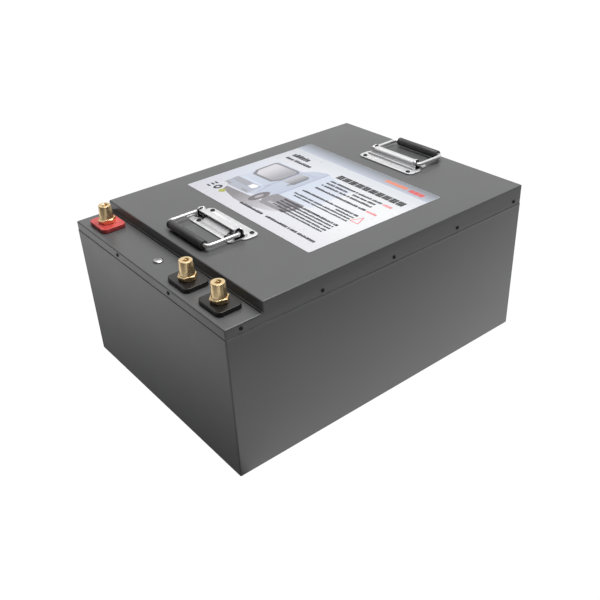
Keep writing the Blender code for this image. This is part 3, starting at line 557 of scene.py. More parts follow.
# --- case -------------------------------------------------------------------------------------
def make_case(paint):
    """Tray of bent sheet with a joggled rim under the lid's skirt."""

    def ring(inset, z):
        radius = max(CORNER_RADIUS - inset, 0.6 * MM)
        half_y = HALF_LENGTH - inset
        outline = rounded_outline(HALF_WIDTH - inset, -half_y, half_y, radius, BEND_STEPS)
        return [(x, y, z) for x, y in outline]

    angles = [pi / 2 * i / BEND_STEPS for i in range(BEND_STEPS + 1)]
    rings = [ring(BEND * (1 - sin(a)), BEND * (1 - cos(a))) for a in angles]
    swell, reach = BEAD
    rings += [ring(0, WALL_TOP_Z - 2 * reach), ring(0, WALL_TOP_Z - reach)]
    rings.append(ring(-swell, WALL_TOP_Z - JOGGLE - 0.1 * MM))
    rings += [ring(JOGGLE * (1 - cos(a)) - swell, WALL_TOP_Z - JOGGLE * (1 - sin(a))) for a in angles]
    turn_z = WALL_TOP_Z + 0.2 * MM
    rings += [ring(RIM_INSET - 0.3 * MM, turn_z - 0.1 * MM), ring(RIM_INSET, turn_z + 0.2 * MM)]
    rings.append(ring(RIM_INSET, CASE_HIGH.z))
    bm = bmesh.new()
    made = loft(bm, rings, close_ends=False)
    bm.faces.new(made[0])
    holes = bmesh.new()
    cut_screw_holes(holes)
    mesh = combined("case_tray", sheet_mesh(bm, "case_tray"), cut=[mesh_of(holes, "case_holes")])
    add("case_tray", mesh, paint, "case_paint", replaced=("case",))


# --- screws and valve -------------------------------------------------------------------------
def make_screws(black):
    """Low-head screws with a hexagon socket."""
    head, height, shank = 2.6 * MM, 1.0 * MM, 1.5 * MM
    rim = 0.7 * MM
    profile = [(0, height), (head - rim, height)]
    profile += [(head - rim + r, height - rim + z) for r, z in arc((0, 0), rim, 90, 0, 5)]
    profile += [(head, 0), (shank, 0), (shank, -8 * MM), (0, -8 * MM)]
    socket = bmesh.new()
    cylinder(socket, (0, 0, height), 1.15 * MM, 1.5 * MM, segments=6)
    mesh = combined("screw", turned("screw", profile, 24), cut=[mesh_of(socket, "socket")])
    for node in nodes_named("lid_screw_"):
        low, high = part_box(node)
        seat = middle(node)
        axis = 0 if in_long_wall(seat) else 1
        normal = Vector((0, 0, 0))
        normal[axis] = 1 if seat[axis] > 0 else -1
        face = high[axis] if seat[axis] > 0 else -low[axis]
        seat[axis] = normal[axis] * (face - height)
        obj = add("fine_" + node, mesh, black, "black_steel", replaced=(node,), location=seat)
        obj.rotation_euler = Vector((0, 0, 1)).rotation_difference(normal).to_euler()


def make_valve(metal):
    """Pressure valve: a low domed cap crossed by four grooves."""
    low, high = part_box("vent_valve")
    radius, height = (high.x - low.x) / 2, high.z - PAD_Z
    profile = [(0, height)]
    profile += [(radius * 0.86 * sin(a), height - 0.9 * MM * (1 - cos(a))) for a in (0.4, 0.8, 1.2)]
    profile += [(radius * 0.9, height - 1.0 * MM), (radius, height - 1.6 * MM), (radius, 0)]
    profile += [(4.5 * MM, 0), (4.5 * MM, -8 * MM), (0, -8 * MM)]
    cuts = []
    for k in range(4):
        slot = bmesh.new()
        outline = rounded_outline(5.4 * MM, -0.45 * MM, 0.45 * MM, 0.4 * MM, 4)
        extrusion(slot, outline, height - 0.7 * MM, height + MM)
        bmesh.ops.rotate(slot, matrix=Matrix.Rotation(k * pi / 4, 3, "Z"), verts=slot.verts)
        cuts.append(mesh_of(slot, "slot"))
    mesh = combined("valve_cap", turned("valve_cap", profile, 40), cut=cuts)
    place = middle("vent_valve")
    place.z = PAD_Z
    add("valve_cap", mesh, metal, "valve_metal", replaced=("vent_valve",), location=place)


# --- terminals --------------------------------------------------------------------------------
HEX_FLATS = 21.5 * MM
HEX_HEIGHT = 6.5 * MM
HEX_TURN = radians(43)
POST_HEIGHT = 19 * MM
POST_FOOT, POST_TOP = 9.9 * MM, 8.7 * MM
STUD_RADIUS, STUD_LENGTH = 5 * MM, 27 * MM
THREAD = (3.4 * MM, 4.0 * MM, 1.25 * MM, 18 * MM)  # minor and major radius, pitch, depth


def post_mesh():
    """Tapered post on a chamfered hexagon, with a threaded hole above and a stud below."""
    top = HEX_HEIGHT + POST_HEIGHT
    minor, major, pitch, depth = THREAD
    profile = [(0, top - depth), (minor, top - depth)]
    turns = int((depth - 2 * MM) / pitch)
    for i in range(turns):
        z = top - depth + 0.5 * MM + i * pitch
        profile += [(minor, z), (major, z + pitch * 0.5), (minor, z + pitch * 0.95)]
    countersink, rim = 0.7 * MM, 0.6 * MM
    profile += [(minor, top - 1.3 * MM), (major + countersink, top)]
    profile += [(POST_TOP - rim + x, top - rim + z) for x, z in arc((0, 0), rim, 90, 0, 5)]
    profile += [(POST_FOOT, HEX_HEIGHT + 0.3 * MM), (POST_FOOT, HEX_HEIGHT - 1 * MM)]
    profile += [(STUD_RADIUS, 1 * MM), (STUD_RADIUS, -STUD_LENGTH), (0, -STUD_LENGTH)]
    corner = HEX_FLATS / 2 / cos(pi / 6)
    face, chamfer = HEX_FLATS / 2 - 0.2 * MM, 1.1 * MM
    cone = [(0, HEX_HEIGHT), (face, HEX_HEIGHT), (corner, HEX_HEIGHT - chamfer)]
    cone += [(corner, chamfer), (face, 0), (0, 0)]
    flats = []
    for k in range(6):
        flat = bmesh.new()
        bmesh.ops.create_cube(flat, size=1.0)
        bmesh.ops.scale(flat, vec=(10 * MM, 40 * MM, 20 * MM), verts=flat.verts)
        bmesh.ops.translate(flat, vec=(HEX_FLATS / 2 + 5 * MM, 0, 3 * MM), verts=flat.verts)
        bmesh.ops.rotate(flat, matrix=Matrix.Rotation(k * pi / 3 + HEX_TURN, 3, "Z"), verts=flat.verts)
        flats.append(mesh_of(flat, "flat"))
    hexagon = combined("hexagon", turned("blank", cone, 72), cut=flats)
    return combined("post", turned("post", profile, 64), joined=[hexagon], smooth_angle=radians(28))


def make_terminals(brass, pad_materials):
    """The three posts on their pads, the positive one red."""
    post = post_mesh()
    for name in TERMINALS:
        low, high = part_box(f"terminal_pad_{name}")
        seat = middle(f"terminal_pad_{name}")
        seat.z = low.z
        half_x, half_y, height = (high.x - low.x) / 2, (high.y - low.y) / 2, high.z - low.z
        outline = rounded_outline(half_x, -half_y, half_y, 7 * MM, 10)
        pad = flat_plate("pad", outline, 0, height, 0.7 * MM, 4)
        hole = bmesh.new()
        cylinder(hole, (0, 0, height / 2), STUD_RADIUS + 0.5 * MM, 2 * height)
        mesh = combined("pad", pad, cut=[mesh_of(hole, "hole")])
        slot = "red_plastic" if name == "positive" else "black_plastic"
        add(
            f"pad_{name}", mesh, pad_materials[slot], slot,
            replaced=(f"terminal_pad_{name}",), location=seat,
        )  # fmt: skip
        foot = middle(f"terminal_{name}")
        foot.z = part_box(f"terminal_{name}")[1].z - HEX_HEIGHT - POST_HEIGHT
        add(f"post_{name}", post, brass, "brass", replaced=(f"terminal_{name}",), location=foot)


# --- label ------------------------------------------------------------------------------------
LABEL_TURN = radians(-0.5)  # stuck on slightly askew
LABEL_HALF = (146 * MM, 119.5 * MM)
INK_STEP = 0.02 * MM  # each layer of print stands this much above the one below


def ellipse(x, y, half_x, half_y, steps=28):
    turns = [2 * pi * k / steps for k in range(steps)]
    return [(x + half_x * cos(a), y + half_y * sin(a)) for a in turns]


def band(x0, y0, x1, y1, width):
    """A straight stripe between two points."""
    along = Vector((x1 - x0, y1 - y0)).normalized()
    side = Vector((-along.y, along.x)) * width / 2
    start, end = Vector((x0, y0)), Vector((x1, y1))
    return [tuple(p) for p in (start - side, end - side, end + side, start + side)]


def dashes(rng, x0, x1, y0, y1, shortest, longest, gap, space=0.0):
    """A row of plain dashes of mixed length; space is the chance of a wider gap after one."""
    shapes, x = [], x0
    while x < x1 - shortest:
        width = min(rng.uniform(shortest, longest), x1 - x)
        drop = rng.choice((0.0, 0.0, 0.18)) * (y1 - y0)
        shapes.append(box_shape(x, x + width, y0, y1 - drop))
        x += width + gap + (2.2 * gap if rng.random() < space else 0.0)
    return shapes


def striped_block(x, y, size, upright):
    """A square sign made of three bars."""
    bar = size / 3.35
    shapes = []
    for i in (0, 1, 2):
        start = i * (size - bar) / 2
        if upright:
            shapes.append(box_shape(x + start, x + start + bar, y, y + size))
        else:
            shapes.append(box_shape(x, x + size, y + start, y + start + bar))
    return shapes


def add_to_label(name, mesh, material, replaced=()):
    """Places a piece drawn about the middle of the label's upper face."""
    place = middle("label")
    place.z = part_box("label")[1].z
    add(name, mesh, material, "label_film", replaced=replaced, location=place, turn=LABEL_TURN)


def prisms(name, shapes, low, high):
    """One mesh of prisms on outlines in millimetres."""
    bm = bmesh.new()
    for shape in shapes:
        extrusion(bm, [(x * MM, y * MM) for x, y in shape], low, high)
    return mesh_of(bm, name)


def print_layer(name, shapes, level, material):
    """Thin prisms of ink on the film; a higher level covers a lower one."""
    add_to_label(name, prisms(name, shapes, -INK_STEP, INK_STEP * level), material)


def make_label():
    """The film, then its print from the far edge to the near one."""
    low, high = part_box("label")
    outline = rounded_outline(LABEL_HALF[0], -LABEL_HALF[1], LABEL_HALF[1], 2 * MM, 8)
    sheet = flat_plate("label_sheet", outline, low.z - high.z, 0, 0.1 * MM, 2)
    add_to_label("label_sheet", sheet, film_material(), ("label",))
    print_band()
    print_lorry()
    print_rows()


def print_band():
    """Blue-grey band along the far edge with an orange and a red sign on it."""
    edge, near = 119.0, 93.0
    blend = ("Y", near, edge, (124, 129, 136))
    band_ink = ink_material("ink_band", (184, 190, 204), 0.02, blend)
    print_layer("label_band", [box_shape(-145.5, 145.5, near, edge)], 1, band_ink)
    rng = random.Random(3)
    orange = ink_material("ink_orange", (238, 128, 82))
    print_layer("label_orange_marks", dashes(rng, 50, 97, 101.5, 109, 2.2, 4.2, 0.8), 2, orange)
    red = ink_material("ink_red", (226, 74, 66))
    blocks = [s for i in range(3) for s in striped_block(100.5 + i * 9.4, 99.5, 8.6, i % 2 == 0)]
    print_layer("label_red_marks", blocks, 2, red)


def print_lorry():
    """Pale picture of a cab-over lorry on the left half, drawn from its plain shapes."""

    def draw(part, level, shapes, ink, shade, spread, blend=None):
        print_layer(f"lorry_{part}", shapes, level, ink_material(f"ink_{ink}", shade, spread, blend))

    box = [(-24, -41), (47, -37), (47, 40), (-25, 58)]
    draw("box", 1, [box], "box", (200, 208, 223), 0.03, ("X", -24, 47, (212, 217, 228)))
    cab = [(-121, 30), (-117, 34), (-60, 36), (-50, 50), (-31, 59), (-24, 57), (-22, -42), (-38, -60)]
    cab += [(-58, -72), (-104, -74), (-118, -66), (-119, -30)]
    draw("cab", 2, [cab], "cab", (198, 204, 217), 0.02, ("X", -118, -28, (184, 192, 208)))
    bumper = [(-119, -45), (-60, -43), (-57, -72), (-104, -74), (-118, -66)]
    draw("bumper", 2.5, [bumper], "bumper", (170, 175, 187), 0.04)
    pillars = [band(-24, 58, -22, -42, 2.6), band(-58, 33, -58, -40, 3.2), band(-58, 34, -27, 36, 1.8)]
    pillars += [band(-56, -30, -50, -58, 2.0), band(-117, -61, -62, -61, 1.2)]
    draw("lines", 3, pillars, "lines", (172, 174, 194), 0.05)
    frame_line = [(-121, 25), (-117, 31), (-66, 33), (-60, 28)]
    frame_line += [(-59, -8), (-66, -22), (-110, -24), (-119, -10)]
    draw("screen_frame", 4, [frame_line], "frame", (128, 128, 134), 0.08)
    glass = [(-117, 23), (-114, 27), (-68, 29), (-63, 25)]
    glass += [(-63, -6), (-69, -17), (-106, -19), (-115, -8)]
    draw("screen", 5, [glass], "screen", (207, 205, 210), 0.05, ("X", -104, -72, (160, 160, 166)))
    window = [(-55, 28), (-38, 30), (-33, 24), (-32, -5), (-54, -8)]
    draw("window", 4, [window], "window", (178, 179, 182), 0.06, ("X", -50, -34, (118, 122, 127)))
    grille = [box_shape(-117, -80, y, y + 2.6) for y in (-47.5, -52.0, -56.5)]
    grille += [box_shape(-76, -62, -70, -66), box_shape(-116, -104, -71, -66), ellipse(-37, -9, 2.6, 5)]
    draw("grille", 4, grille, "grille", (152, 150, 154), 0.06)
    lamp = [(-78, -46), (-66, -44), (-63, -50), (-66, -57), (-77, -56)]
    draw("lamp", 4, [lamp], "lamp", (240, 240, 243), 0.02)
    shadow = [(-100, -78), (-96, -88), (-58, -96), (-24, -97)]
    shadow += [(16, -82), (24, -76), (-26, -72), (-60, -75)]
    draw("shadow", 1, [shadow], "shadow", (134, 130, 134), 0.08, ("X", -70, 24, (205, 203, 208)))
    chassis = [(-24, -41), (36, -38), (38, -56), (30, -74), (-20, -77), (-30, -60)]
    draw("chassis", 3, [chassis], "chassis", (142, 138, 144), 0.12)
    tyres = [ellipse(-36, -65, 9, 19), ellipse(27, -57, 8, 17)]
    draw("tyres", 4, tyres, "tyre", (116, 112, 117), 0.12)
    hubs = [ellipse(-36, -65, 3.4, 8), ellipse(28, -57, 3, 7), box_shape(-13, 9, -68, -62)]
    draw("hubs", 5, hubs, "hub", (176, 172, 177), 0.06)
    draw("bonnet", 3, [box_shape(-112, -64, -42, -38)], "bonnet", (203, 211, 227), 0.02)


def print_rows():
    """Title blocks and rows of dashes on the right half."""
    rng = random.Random(11)
    dark = ink_material("ink_dark", (20, 20, 24), 0.15)
    title = []
    for i in range(10):
        title += striped_block(-9.5 + i * 14.1, 57.4, 12.4, i % 2 == 1)
    title += dashes(rng, -127, -87, 65.5, 76, 3.4, 7.5, 1.2)
    print_layer("label_title", title, 6, dark)

    slate = ink_material("ink_slate", (34, 36, 45), 0.15)
    rows = [  # left and right end, lower and upper edge
        (-127, -63, 52.5, 58.5), (-4, 105, 42.3, 46.8), (-3.5, 46, 33.5, 38), (54, 105, 33.5, 38),
        (-4, 104, 24.5, 29), (-3, 105, 11.5, 16), (-8, 113, -8, -3.8), (74, 113, -15, -11.5),
        (-10, 113, -21.5, -18), (-3, 114, -28, -24.8), (-2, 114, -46.5, -42), (-2, 114, -53, -49.3),
        (-3, 114, -59.5, -56), (-2, 114, -66.5, -63), (20, 114, -72.5, -69.3),
        (-38, 18, -98.8, -94.2), (24, 129, -98.8, -94.2),
    ]  # fmt: skip
    shapes = []
    for x0, x1, y0, y1 in rows:
        tall = y1 - y0
        shapes += dashes(rng, x0, x1, y0, y1, 0.55 * tall, 1.1 * tall, 0.15 * tall, 0.12)
    print_layer("label_rows", shapes, 6, slate)

    rose = ink_material("ink_rose", (236, 122, 122), 0.08)
    shapes = dashes(rng, 108, 128, 42, 47, 2.6, 4.6, 0.9)
    shapes += dashes(rng, 108, 128, 11.2, 16.2, 2.6, 4.6, 0.9)
    corners = [Vector((120.7, -3.5)), Vector((128.6, -21.5)), Vector((112.8, -21.5))]
    for a, b in zip(corners, corners[1:] + corners[:1]):
        shapes.append(band(a.x, a.y, b.x, b.y, 1.5))
    print_layer("label_rose_marks", shapes, 3, rose)

    print_layer("label_bar", [box_shape(-125.5, -117.5, y, y + 3.2) for y in (-98.5, -91, -84.5)], 3, dark)
    disc = prisms("ring", [ellipse(-106.7, -90, 6.2, 7.4)], -INK_STEP, INK_STEP * 3)
    hole = prisms("hole", [ellipse(-106.7, -90, 2.6, 3.4)], -MM, MM)
    add_to_label("label_ring", combined("label_ring", disc, cut=[hole]), dark)
    lime = ink_material("ink_lime", (168, 172, 70), 0.1)
    print_layer("label_diamond", [[(-91, -100), (-84.5, -93), (-91, -86), (-97.5, -93)]], 3, lime)


# --- handles ----------------------------------------------------------------------------------
def hood_outline(lip_v):
    """Section of the hood in (v, w): a wall behind the pivot that curls over towards the grip."""
    corner = (HOOD_BACK_V + HOOD_BEND, HOOD_TOP - HOOD_BEND)
    outer = [(HOOD_BACK_V, SUNK_W)] + arc(corner, HOOD_BEND, 180, 90, 10)
    tip = SHEET / 2
    outer += arc((lip_v - tip, HOOD_TOP - 0.5 * MM - tip), tip, 90, -90, 6)
    inner = arc(corner, HOOD_BEND - SHEET, 90, 180, 10)
    inner.append((HOOD_BACK_V + SHEET, SUNK_W))
    return outer + inner


def plinth_outline():
    """Section of the raised strip behind the hood, with a sloping back."""
    inside_hood = HOOD_BACK_V + 0.7 * MM
    height, corner = 4.4 * MM, 1.2 * MM
    points = [(-13.4 * MM, SUNK_W), (inside_hood, SUNK_W), (inside_hood, height)]
    points += arc((-10.6 * MM, height - corner), corner, 90, 145, 4)
    return points


def ear_outline(radius, foot_w):
    """Section of an ear in (v, w): a round top on straight sides."""
    v, w = EAR_CENTRE
    return arc((v, w), radius, 0, 180, 20) + [(v - radius, foot_w), (v + radius, foot_w)]


def ramp_outline():
    """Section of the pressed ramp that rises from the front flange to just below the hood's lip."""
    back, crest, foot = -1.6 * MM, 5.9 * MM, 8.5 * MM
    corner, ease = 0.9 * MM, 1.2 * MM
    points = [(back, SUNK_W), (foot + ease, SUNK_W), (foot, SHEET), (foot - ease, SHEET + 0.5 * MM)]
    points += arc((back + corner + ease, crest - corner), corner, 60, 90, 4)
    points += arc((back + corner, crest - corner), corner, 90, 180, 5)
    return points


def is_upper_rim(edge):
    """True for the edges round an ear's two flat faces, above its foot."""
    first, second = (vert.co for vert in edge.verts)
    return abs(first.x - second.x) < 1e-6 and first.z > PIVOT_W * 0.5


def plate_mesh():
    """Pressed plate: two flanges, the hood with its strip and rounded ends, and the ear rings."""
    shapes = []
    for half, low, high, radius in (PLATE_BACK, PLATE_FRONT):
        outline = rounded_outline(half, low, high, radius, 10)
        shapes.append(flat_plate("flange", outline, 0, SHEET, 0.45 * MM, 3))
    strips = (
        (plinth_outline(), PLINTH_HALF),
        (hood_outline(-0.4 * MM), HOOD_HALF),
        (hood_outline(3.6 * MM), LIP_HALF),
        (ramp_outline(), RAMP_HALF),
    )
    for outline, half in strips:
        shapes.append(prism("strip", outline, -half, half, "X"))
    for side in (-1, 1):
        bm = bmesh.new()
        extrusion(bm, ear_outline(EAR_RADIUS, SUNK_W), side * EAR_U[0], side * EAR_U[1], "X")
        rims = [e for e in bm.edges if is_upper_rim(e)]
        bmesh.ops.bevel(bm, geom=rims, offset=0.5 * MM, segments=3, affect="EDGES", profile=0.5)
        shapes.append(mesh_of(bm, "ear"))
        bm = bmesh.new()
        bmesh.ops.create_uvsphere(bm, u_segments=32, v_segments=20, radius=1.0)
        bmesh.ops.scale(bm, vec=BULB_RADII, verts=bm.verts)
        u, v, w = BULB_CENTRE
        bmesh.ops.translate(bm, vec=(side * u, v, w), verts=bm.verts)
        shapes.append(mesh_of(bm, "bulb"))

    cuts = []
    bm = bmesh.new()
    for half, v in RIVETS:
        for side in (-1, 1):
            cylinder(bm, (side * half, v, 0), RIVET_HOLE_RADIUS, 8 * MM, segments=20)
    cuts.append(mesh_of(bm, "rivet_holes"))
    half, low, high, radius, depth = PANEL
    outline = rounded_outline(half, low, high, radius, 6)
    cuts.append(flat_plate("panel", outline, SHEET - depth, SHEET + 2 * MM, 0.35 * MM, 2))
    for side in (-1, 1):
        inner, outer = side * (EAR_U[0] - 0.4 * MM), side * PLATE_FRONT[0]
        cuts.append(prism("bush_seat", ear_outline(BUSH_RADIUS, SHEET), inner, outer, "X"))
    return combined("plate", shapes[0], joined=shapes[1:], cut=cuts, smooth_angle=radians(30))


def bush_mesh(side):
    """Black bearing pressed into an ear, bored for the bail's stub, with a black tab on the flange that is
    painted shade and reflection below the ear.
    """
    clearance = 0.03 * MM
    low = SHEET + clearance
    outline = ear_outline(BUSH_RADIUS - clearance, low)
    bush = prism("bush", outline, side * (EAR_U[0] + 0.2 * MM), side * (EAR_U[1] + 0.05 * MM), "X")
    foot = box_shape(-6.6 * MM, 7.4 * MM, low, low + 0.5 * MM)
    # The black tab is painted shade: a dark sheet on the flange where the ear's shadow and its reflection
    # fall.
    painted_shade_tab = prism("painted_shade_tab", foot, side * (EAR_U[1] - 0.5 * MM), side * (PLATE_FRONT[0] - 0.6 * MM), "X")
    bore = bmesh.new()
    cylinder(bore, (side * EAR_U[0], 0, PIVOT_W), WIRE_RADIUS + 0.3 * MM, 20 * MM, "X")
    return combined("bush", bush, joined=[painted_shade_tab], cut=[mesh_of(bore, "bore")])


def bail_mesh():
    """The bent bar: pivot stubs, legs with a small collar at each corner, and the grip's core."""
    pivot_bend, grip_bend = 3.6 * MM, 6.5 * MM
    leg_end = LEG_LENGTH - grip_bend
    swell = WIRE_RADIUS + 0.35 * MM
    collar = ((3.2, WIRE_RADIUS), (2.9, swell), (0.6, swell), (0.3, WIRE_RADIUS))
    pivot_arc = arc((LEG_U - pivot_bend, pivot_bend), pivot_bend, -90, 0, 10)
    grip_arc = arc((LEG_U - grip_bend, leg_end), grip_bend, 0, 90, 12)
    half = [(STUB_U, 0)] + pivot_arc + [(LEG_U, leg_end - v * MM) for v, _ in collar] + grip_arc
    radii = [WIRE_RADIUS] * (1 + len(pivot_arc)) + [radius for _, radius in collar]
    radii += [WIRE_RADIUS] * len(grip_arc)
    points = [(u, v, 0) for u, v in half] + [(-u, v, 0) for u, v in reversed(half)]
    bm = bmesh.new()
    tube(bm, points, radii + radii[::-1], 24)
    return mesh_of(bm, "bail")


def grip_mesh():
    """Sleeve with moulded ribs near its ends and rounded end faces."""
    bore = WIRE_RADIUS + 0.35 * MM
    half = GRIP_LENGTH / 2
    end = 1.6 * MM
    outer = [(GRIP_RADIUS - end + r, half - end + z) for z, r in arc((0, 0), end, 0, 90, 6)]
    rib_pitch, rib_depth = 1.2 * MM, 0.2 * MM
    z = half - end - 0.8 * MM
    for _ in range(4):
        outer += [(GRIP_RADIUS, z), (GRIP_RADIUS - rib_depth, z - 0.35 * MM)]
        outer += [(GRIP_RADIUS - rib_depth, z - 0.65 * MM), (GRIP_RADIUS, z - 1.0 * MM)]
        z -= rib_pitch
    mirrored = [(r, -z) for r, z in reversed(outer)]
    profile = [(bore, half), (bore + 0.8 * MM, half)] + outer + mirrored
    profile += [(bore + 0.8 * MM, -half), (bore, -half), (bore, half)]
    mesh = turned("grip", profile, 48, "X", radians(40))
    mesh.transform(Matrix.Translation((0, LEG_LENGTH, 0)))
    return mesh


def spring_mesh():
    """Two coils round the pivot stubs, joined by a straight run held under the hood."""
    per_turn, turns, radius = 20, 7, 3.3 * MM
    start, end = 30.5 * MM, 42 * MM
    start_angle = radians(200)
    steps = turns * per_turn
    coil = []
    for i in range(steps + 1):
        a = start_angle + 2 * pi * i / per_turn
        u = end + (start - end) * i / steps
        coil.append((u, radius * cos(a), radius * sin(a)))
    tail_v = radius * cos(start_angle)
    tail = [(end, tail_v, -4.3 * MM), (end, tail_v, -2.5 * MM)]
    run = [(start - 2 * MM, -4.6 * MM, -1.2 * MM), (start - 4 * MM, -5.2 * MM, -1 * MM)]
    half = tail + coil + run
    bm = bmesh.new()
    tube(bm, half + [(-u, v, w) for u, v, w in reversed(half)], 0.4 * MM, 10)
    return mesh_of(bm, "spring", radians(60))


def rivet_mesh():
    """Blind rivet: a domed head with a shallow well where the mandrel broke off."""
    head, height, shank = 3.4 * MM, RIVET_HEIGHT, 2 * MM
    crown = head * 0.36
    profile = [(0, height * 0.72), (head * 0.3, height * 0.72), (crown, height)]
    profile += [(crown + (head - crown) * sin(a), height * cos(a) ** 0.8) for a in (0.35, 0.7, 1.05, 1.3)]
    profile += [(head, 0.12 * MM), (head, 0), (shank, 0), (shank, -7 * MM), (0, -7 * MM)]
    return turned("rivet", profile, 28)


def make_handles(chrome, rubber, spring_steel, black_steel, black_plastic):
    """Both handles from one set of meshes, each turned so that its grip lies away from the label."""
    plate, bail, grip, spring = plate_mesh(), bail_mesh(), grip_mesh(), spring_mesh()
    bushes = {side: bush_mesh(side) for side in (-1, 1)}
    for joint in frame["joints"]:
        name = joint["name"].split("_")[0]
        pivot = Vector(joint["pos_m"])
        turn = pi if joint["axis"][0] < 0 else 0.0
        foot = Vector((pivot.x, pivot.y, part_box(f"handle_plate_{name}")[0].z))
        body = joint["child"]
        fixed = {"location": foot, "turn": turn}
        add(f"plate_{name}", plate, chrome, "chrome", replaced=(f"handle_plate_{name}",), **fixed)
        for side, label in ((-1, "a"), (1, "b")):
            add(f"bush_{name}_{label}", bushes[side], black_plastic, "black_plastic", **fixed)
        hinged = (
            ("bail", bail, chrome, "chrome", body),
            ("grip", grip, rubber, "grip_rubber", body),
            ("spring", spring, spring_steel, "spring_steel", "pack"),
        )
        for kind, mesh, material, slot, rides_on in hinged:
            node = (f"handle_{kind}_{name}",)
            add(f"{kind}_{name}", mesh, material, slot, rides_on, node, location=pivot, turn=turn)
    rivet = rivet_mesh()
    for node in nodes_named("handle_rivet_"):
        seat = middle(node)
        seat.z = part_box(node)[1].z - RIVET_HEIGHT
        add("fine_" + node, rivet, black_steel, "black_steel", replaced=(node,), location=seat)


# --- parts inside the case --------------------------------------------------------------------
def dress(material, *starts):
    """Gives a material to the CAD nodes whose names start so."""
    for start in starts:
        for node in nodes_named(start):
            mesh = frame["nodes"][node].data
            mesh.materials.clear()
            mesh.materials.append(material)


def dress_inside():
    dress(plastic_material("cell_can", (0.03, 0.12, 0.36)), "cell_brick_")
    dress(steel_material("busbar_metal", (0.72, 0.42, 0.28), (0.25, 0.4)), "busbar_")
    dress(plastic_material("foam", (0.035, 0.035, 0.037), (0.8, 0.95), 0.2, 0.8 * MM), "base_pad")
    dress(plastic_material("glass_epoxy", (0.30, 0.42, 0.2), (0.4, 0.55)), "cover_board", "end_board")
    dress(plastic_material("unit_housing", (0.15, 0.15, 0.16)), "protection_unit")
    dress(plastic_material("red_lead", (0.45, 0.03, 0.03)), "lead_positive")
    dress(plastic_material("black_lead", (0.03, 0.03, 0.03)), "lead_discharge", "lead_charge", "lead_cell")
    dress(steel_material("plain_steel", (0.6, 0.6, 0.6), (0.25, 0.4)), "terminal_nut_")


# --- stage ------------------------------------------------------------------------------------
CAMERA_AZIMUTH = radians(52.7132)
CAMERA_ELEVATION = radians(32.0519)
CAMERA_ROLL = radians(-2.893)
CAMERA_DISTANCE = 1.2131
CAMERA_TARGET = Vector((-0.010944, 0.000038, 0.059622))
CAMERA_LENS = 46.489
WHITE_SEEN = 1.02  # strength that the camera shows as plain white
BRIGHT_SIDE = (-0.5, 0.9, 0.85)  # where the world is brightest: above, behind and to the left


def make_camera():
    """Camera on a sphere about its target, rolled about its line of sight."""
    a, e, r = CAMERA_AZIMUTH, CAMERA_ELEVATION, CAMERA_ROLL
    back = Vector((sin(a) * cos(e), -cos(a) * cos(e), sin(e)))
    right = Vector((cos(a), sin(a), 0))
    up = back.cross(right)
    rolled_right = right * cos(r) + up * sin(r)
    rolled_up = up * cos(r) - right * sin(r)
    data = bpy.data.cameras.new("camera")
    data.lens = CAMERA_LENS
    data.sensor_width = 36
    data.clip_start, data.clip_end = 0.05, 50
    camera = linked("camera", data)
    turn = Matrix((rolled_right, rolled_up, back)).transposed()
    camera.matrix_world = Matrix.Translation(CAMERA_TARGET + back * CAMERA_DISTANCE) @ turn.to_4x4()
    bpy.context.scene.camera = camera


def softbox(name, place, target, size, energy):
    """Rectangular area light at a place, aimed at a target."""
    data = bpy.data.lights.new(name, "AREA")
    data.shape = "RECTANGLE"
    data.size, data.size_y = size
    data.energy = energy
    light = linked(name, data)
    light.location = place
    light.rotation_euler = (Vector(target) - Vector(place)).to_track_quat("-Z", "Y").to_euler()


class StageGraph(Graph):
    """The tree of the floor or the world, which lights the pack but looks plain white."""

    def __init__(self, tree):
        tree.nodes.clear()
        super().__init__(tree)

    def times(self, first, second):
        return self.node("Math", {0: first, 1: second}, operation="MULTIPLY").outputs["Value"]

    def finish(self, shader, strength, output):
        """Light of the given strength for the pack, plain white for the camera."""
        seen = self.node("LightPath", {}).outputs["Is Camera Ray"]
        light = self.node(shader, {"Strength": strength}).outputs[0]
        white = self.node(shader, {"Color": (1, 1, 1, 1), "Strength": WHITE_SEEN}).outputs[0]
        mixed = self.node("MixShader", {0: seen, 1: light, 2: white}).outputs[0]
        self.node(output, {"Surface": mixed})


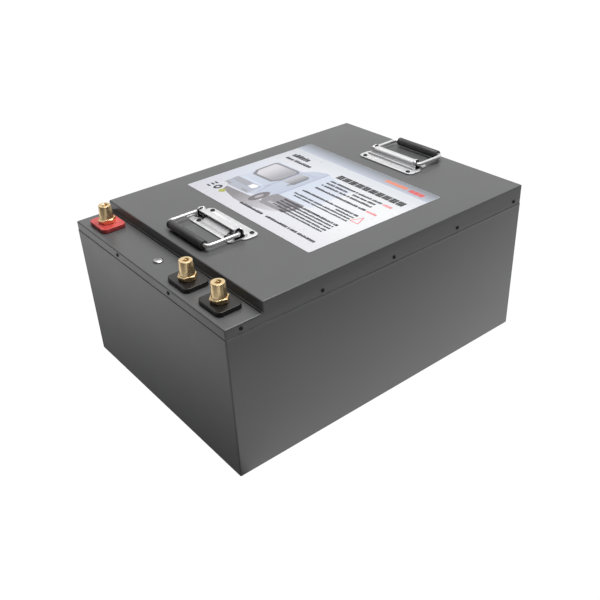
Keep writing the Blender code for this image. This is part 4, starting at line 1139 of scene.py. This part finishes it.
def make_floor():
    """White studio floor that glows to light the pack. Its glow holds a painted pool of light, bright
    beside the right wall and falling away from it, and a painted shadow at the foot of the terminal end."""
    bm = bmesh.new()
    bmesh.ops.create_grid(bm, x_segments=1, y_segments=1, size=6.0)
    mesh = mesh_of(bm, "floor")
    material = bpy.data.materials.new("floor")
    material.use_nodes = True
    g = StageGraph(material.node_tree)
    place = g.node("SeparateXYZ", {"Vector": g.node("NewGeometry", {}).outputs["Position"]})
    x, y = place.outputs["X"], place.outputs["Y"]
    foot, side = -HALF_LENGTH, HALF_WIDTH
    # Painted shadow in front of the terminal end: dim at its foot, bright, then dim again, and brighter to
    # the left.
    near, far = g.between(y, foot, foot - 0.2, 0.25, 1.0), g.between(y, foot - 0.25, foot - 0.7, 1.0, 0.12)
    front = g.times(g.times(near, far), g.between(x, 0.15, -0.42, 0.82, 1.15))
    # Painted pool of light beside the pack: even under it and to its left, falling away from its right
    # wall.
    right = g.between(x, side + 0.08, side + 0.62, 1.02, 0.12)
    painted_pool = g.mix(g.between(x, side - 0.05, side - 0.02, 0.0, 1.0), 0.55, right)
    # The floor's glow: the painted pool of light beside the pack and the painted shadow in front of the
    # terminal end.
    shade = g.mix(g.between(y, foot + 0.02, foot, 0.0, 1.0), painted_pool, front)
    g.finish("Emission", shade, "OutputMaterial")
    mesh.materials.append(material)
    floor = linked("floor", mesh)
    floor.location.z = -0.5 * MM


def make_world():
    """Bright overhead and behind the pack, dark above the horizon on the viewer's side."""
    world = bpy.data.worlds.new("studio")
    bpy.context.scene.world = world
    world.use_nodes = True
    g = StageGraph(world.node_tree)
    direction = g.node("TexCoord", {}).outputs["Generated"]
    facing = g.node("VectorMath", {0: direction, 1: BRIGHT_SIDE}, operation="DOT_PRODUCT")
    height = g.node("SeparateXYZ", {"Vector": direction}).outputs["Z"]
    side_glow = g.between(facing.outputs["Value"], 0.26, 0.9, 0.035, 1.04)
    g.finish("Background", g.times(side_glow, g.between(height, 0.3, 0.7, 0.8, 1.0)), "OutputWorld")


def make_stage():
    bpy.context.scene.view_settings.view_transform = "Standard"
    make_floor()
    make_world()
    softbox("key", (0.0, 0.3, 2.3), (0, 0, 0.2), (1.8, 1.3), 40)
    make_camera()


# --- build ------------------------------------------------------------------------------------
make_stage()
PAINT = paint_material()
CHROME = chrome_material()
BLACK_STEEL = steel_material("black_steel", (0.008, 0.008, 0.009), (0.4, 0.5), 0.3)
BLACK_PLASTIC = plastic_material("black_plastic", (0.02, 0.018, 0.017), (0.22, 0.3))
RED_PLASTIC = plastic_material("red_plastic", (0.66, 0.08, 0.075), (0.22, 0.3))
make_lid(PAINT)
make_case(PAINT)
make_screws(BLACK_STEEL)
make_valve(steel_material("valve_metal", (0.62, 0.62, 0.63), (0.2, 0.32)))
make_terminals(brass_material(), {"red_plastic": RED_PLASTIC, "black_plastic": BLACK_PLASTIC})
make_label()
make_handles(
    CHROME, rubber_material(), steel_material("spring_steel", (0.25, 0.25, 0.26), (0.25, 0.4)),
    BLACK_STEEL, BLACK_PLASTIC,
)  # fmt: skip
dress_inside()
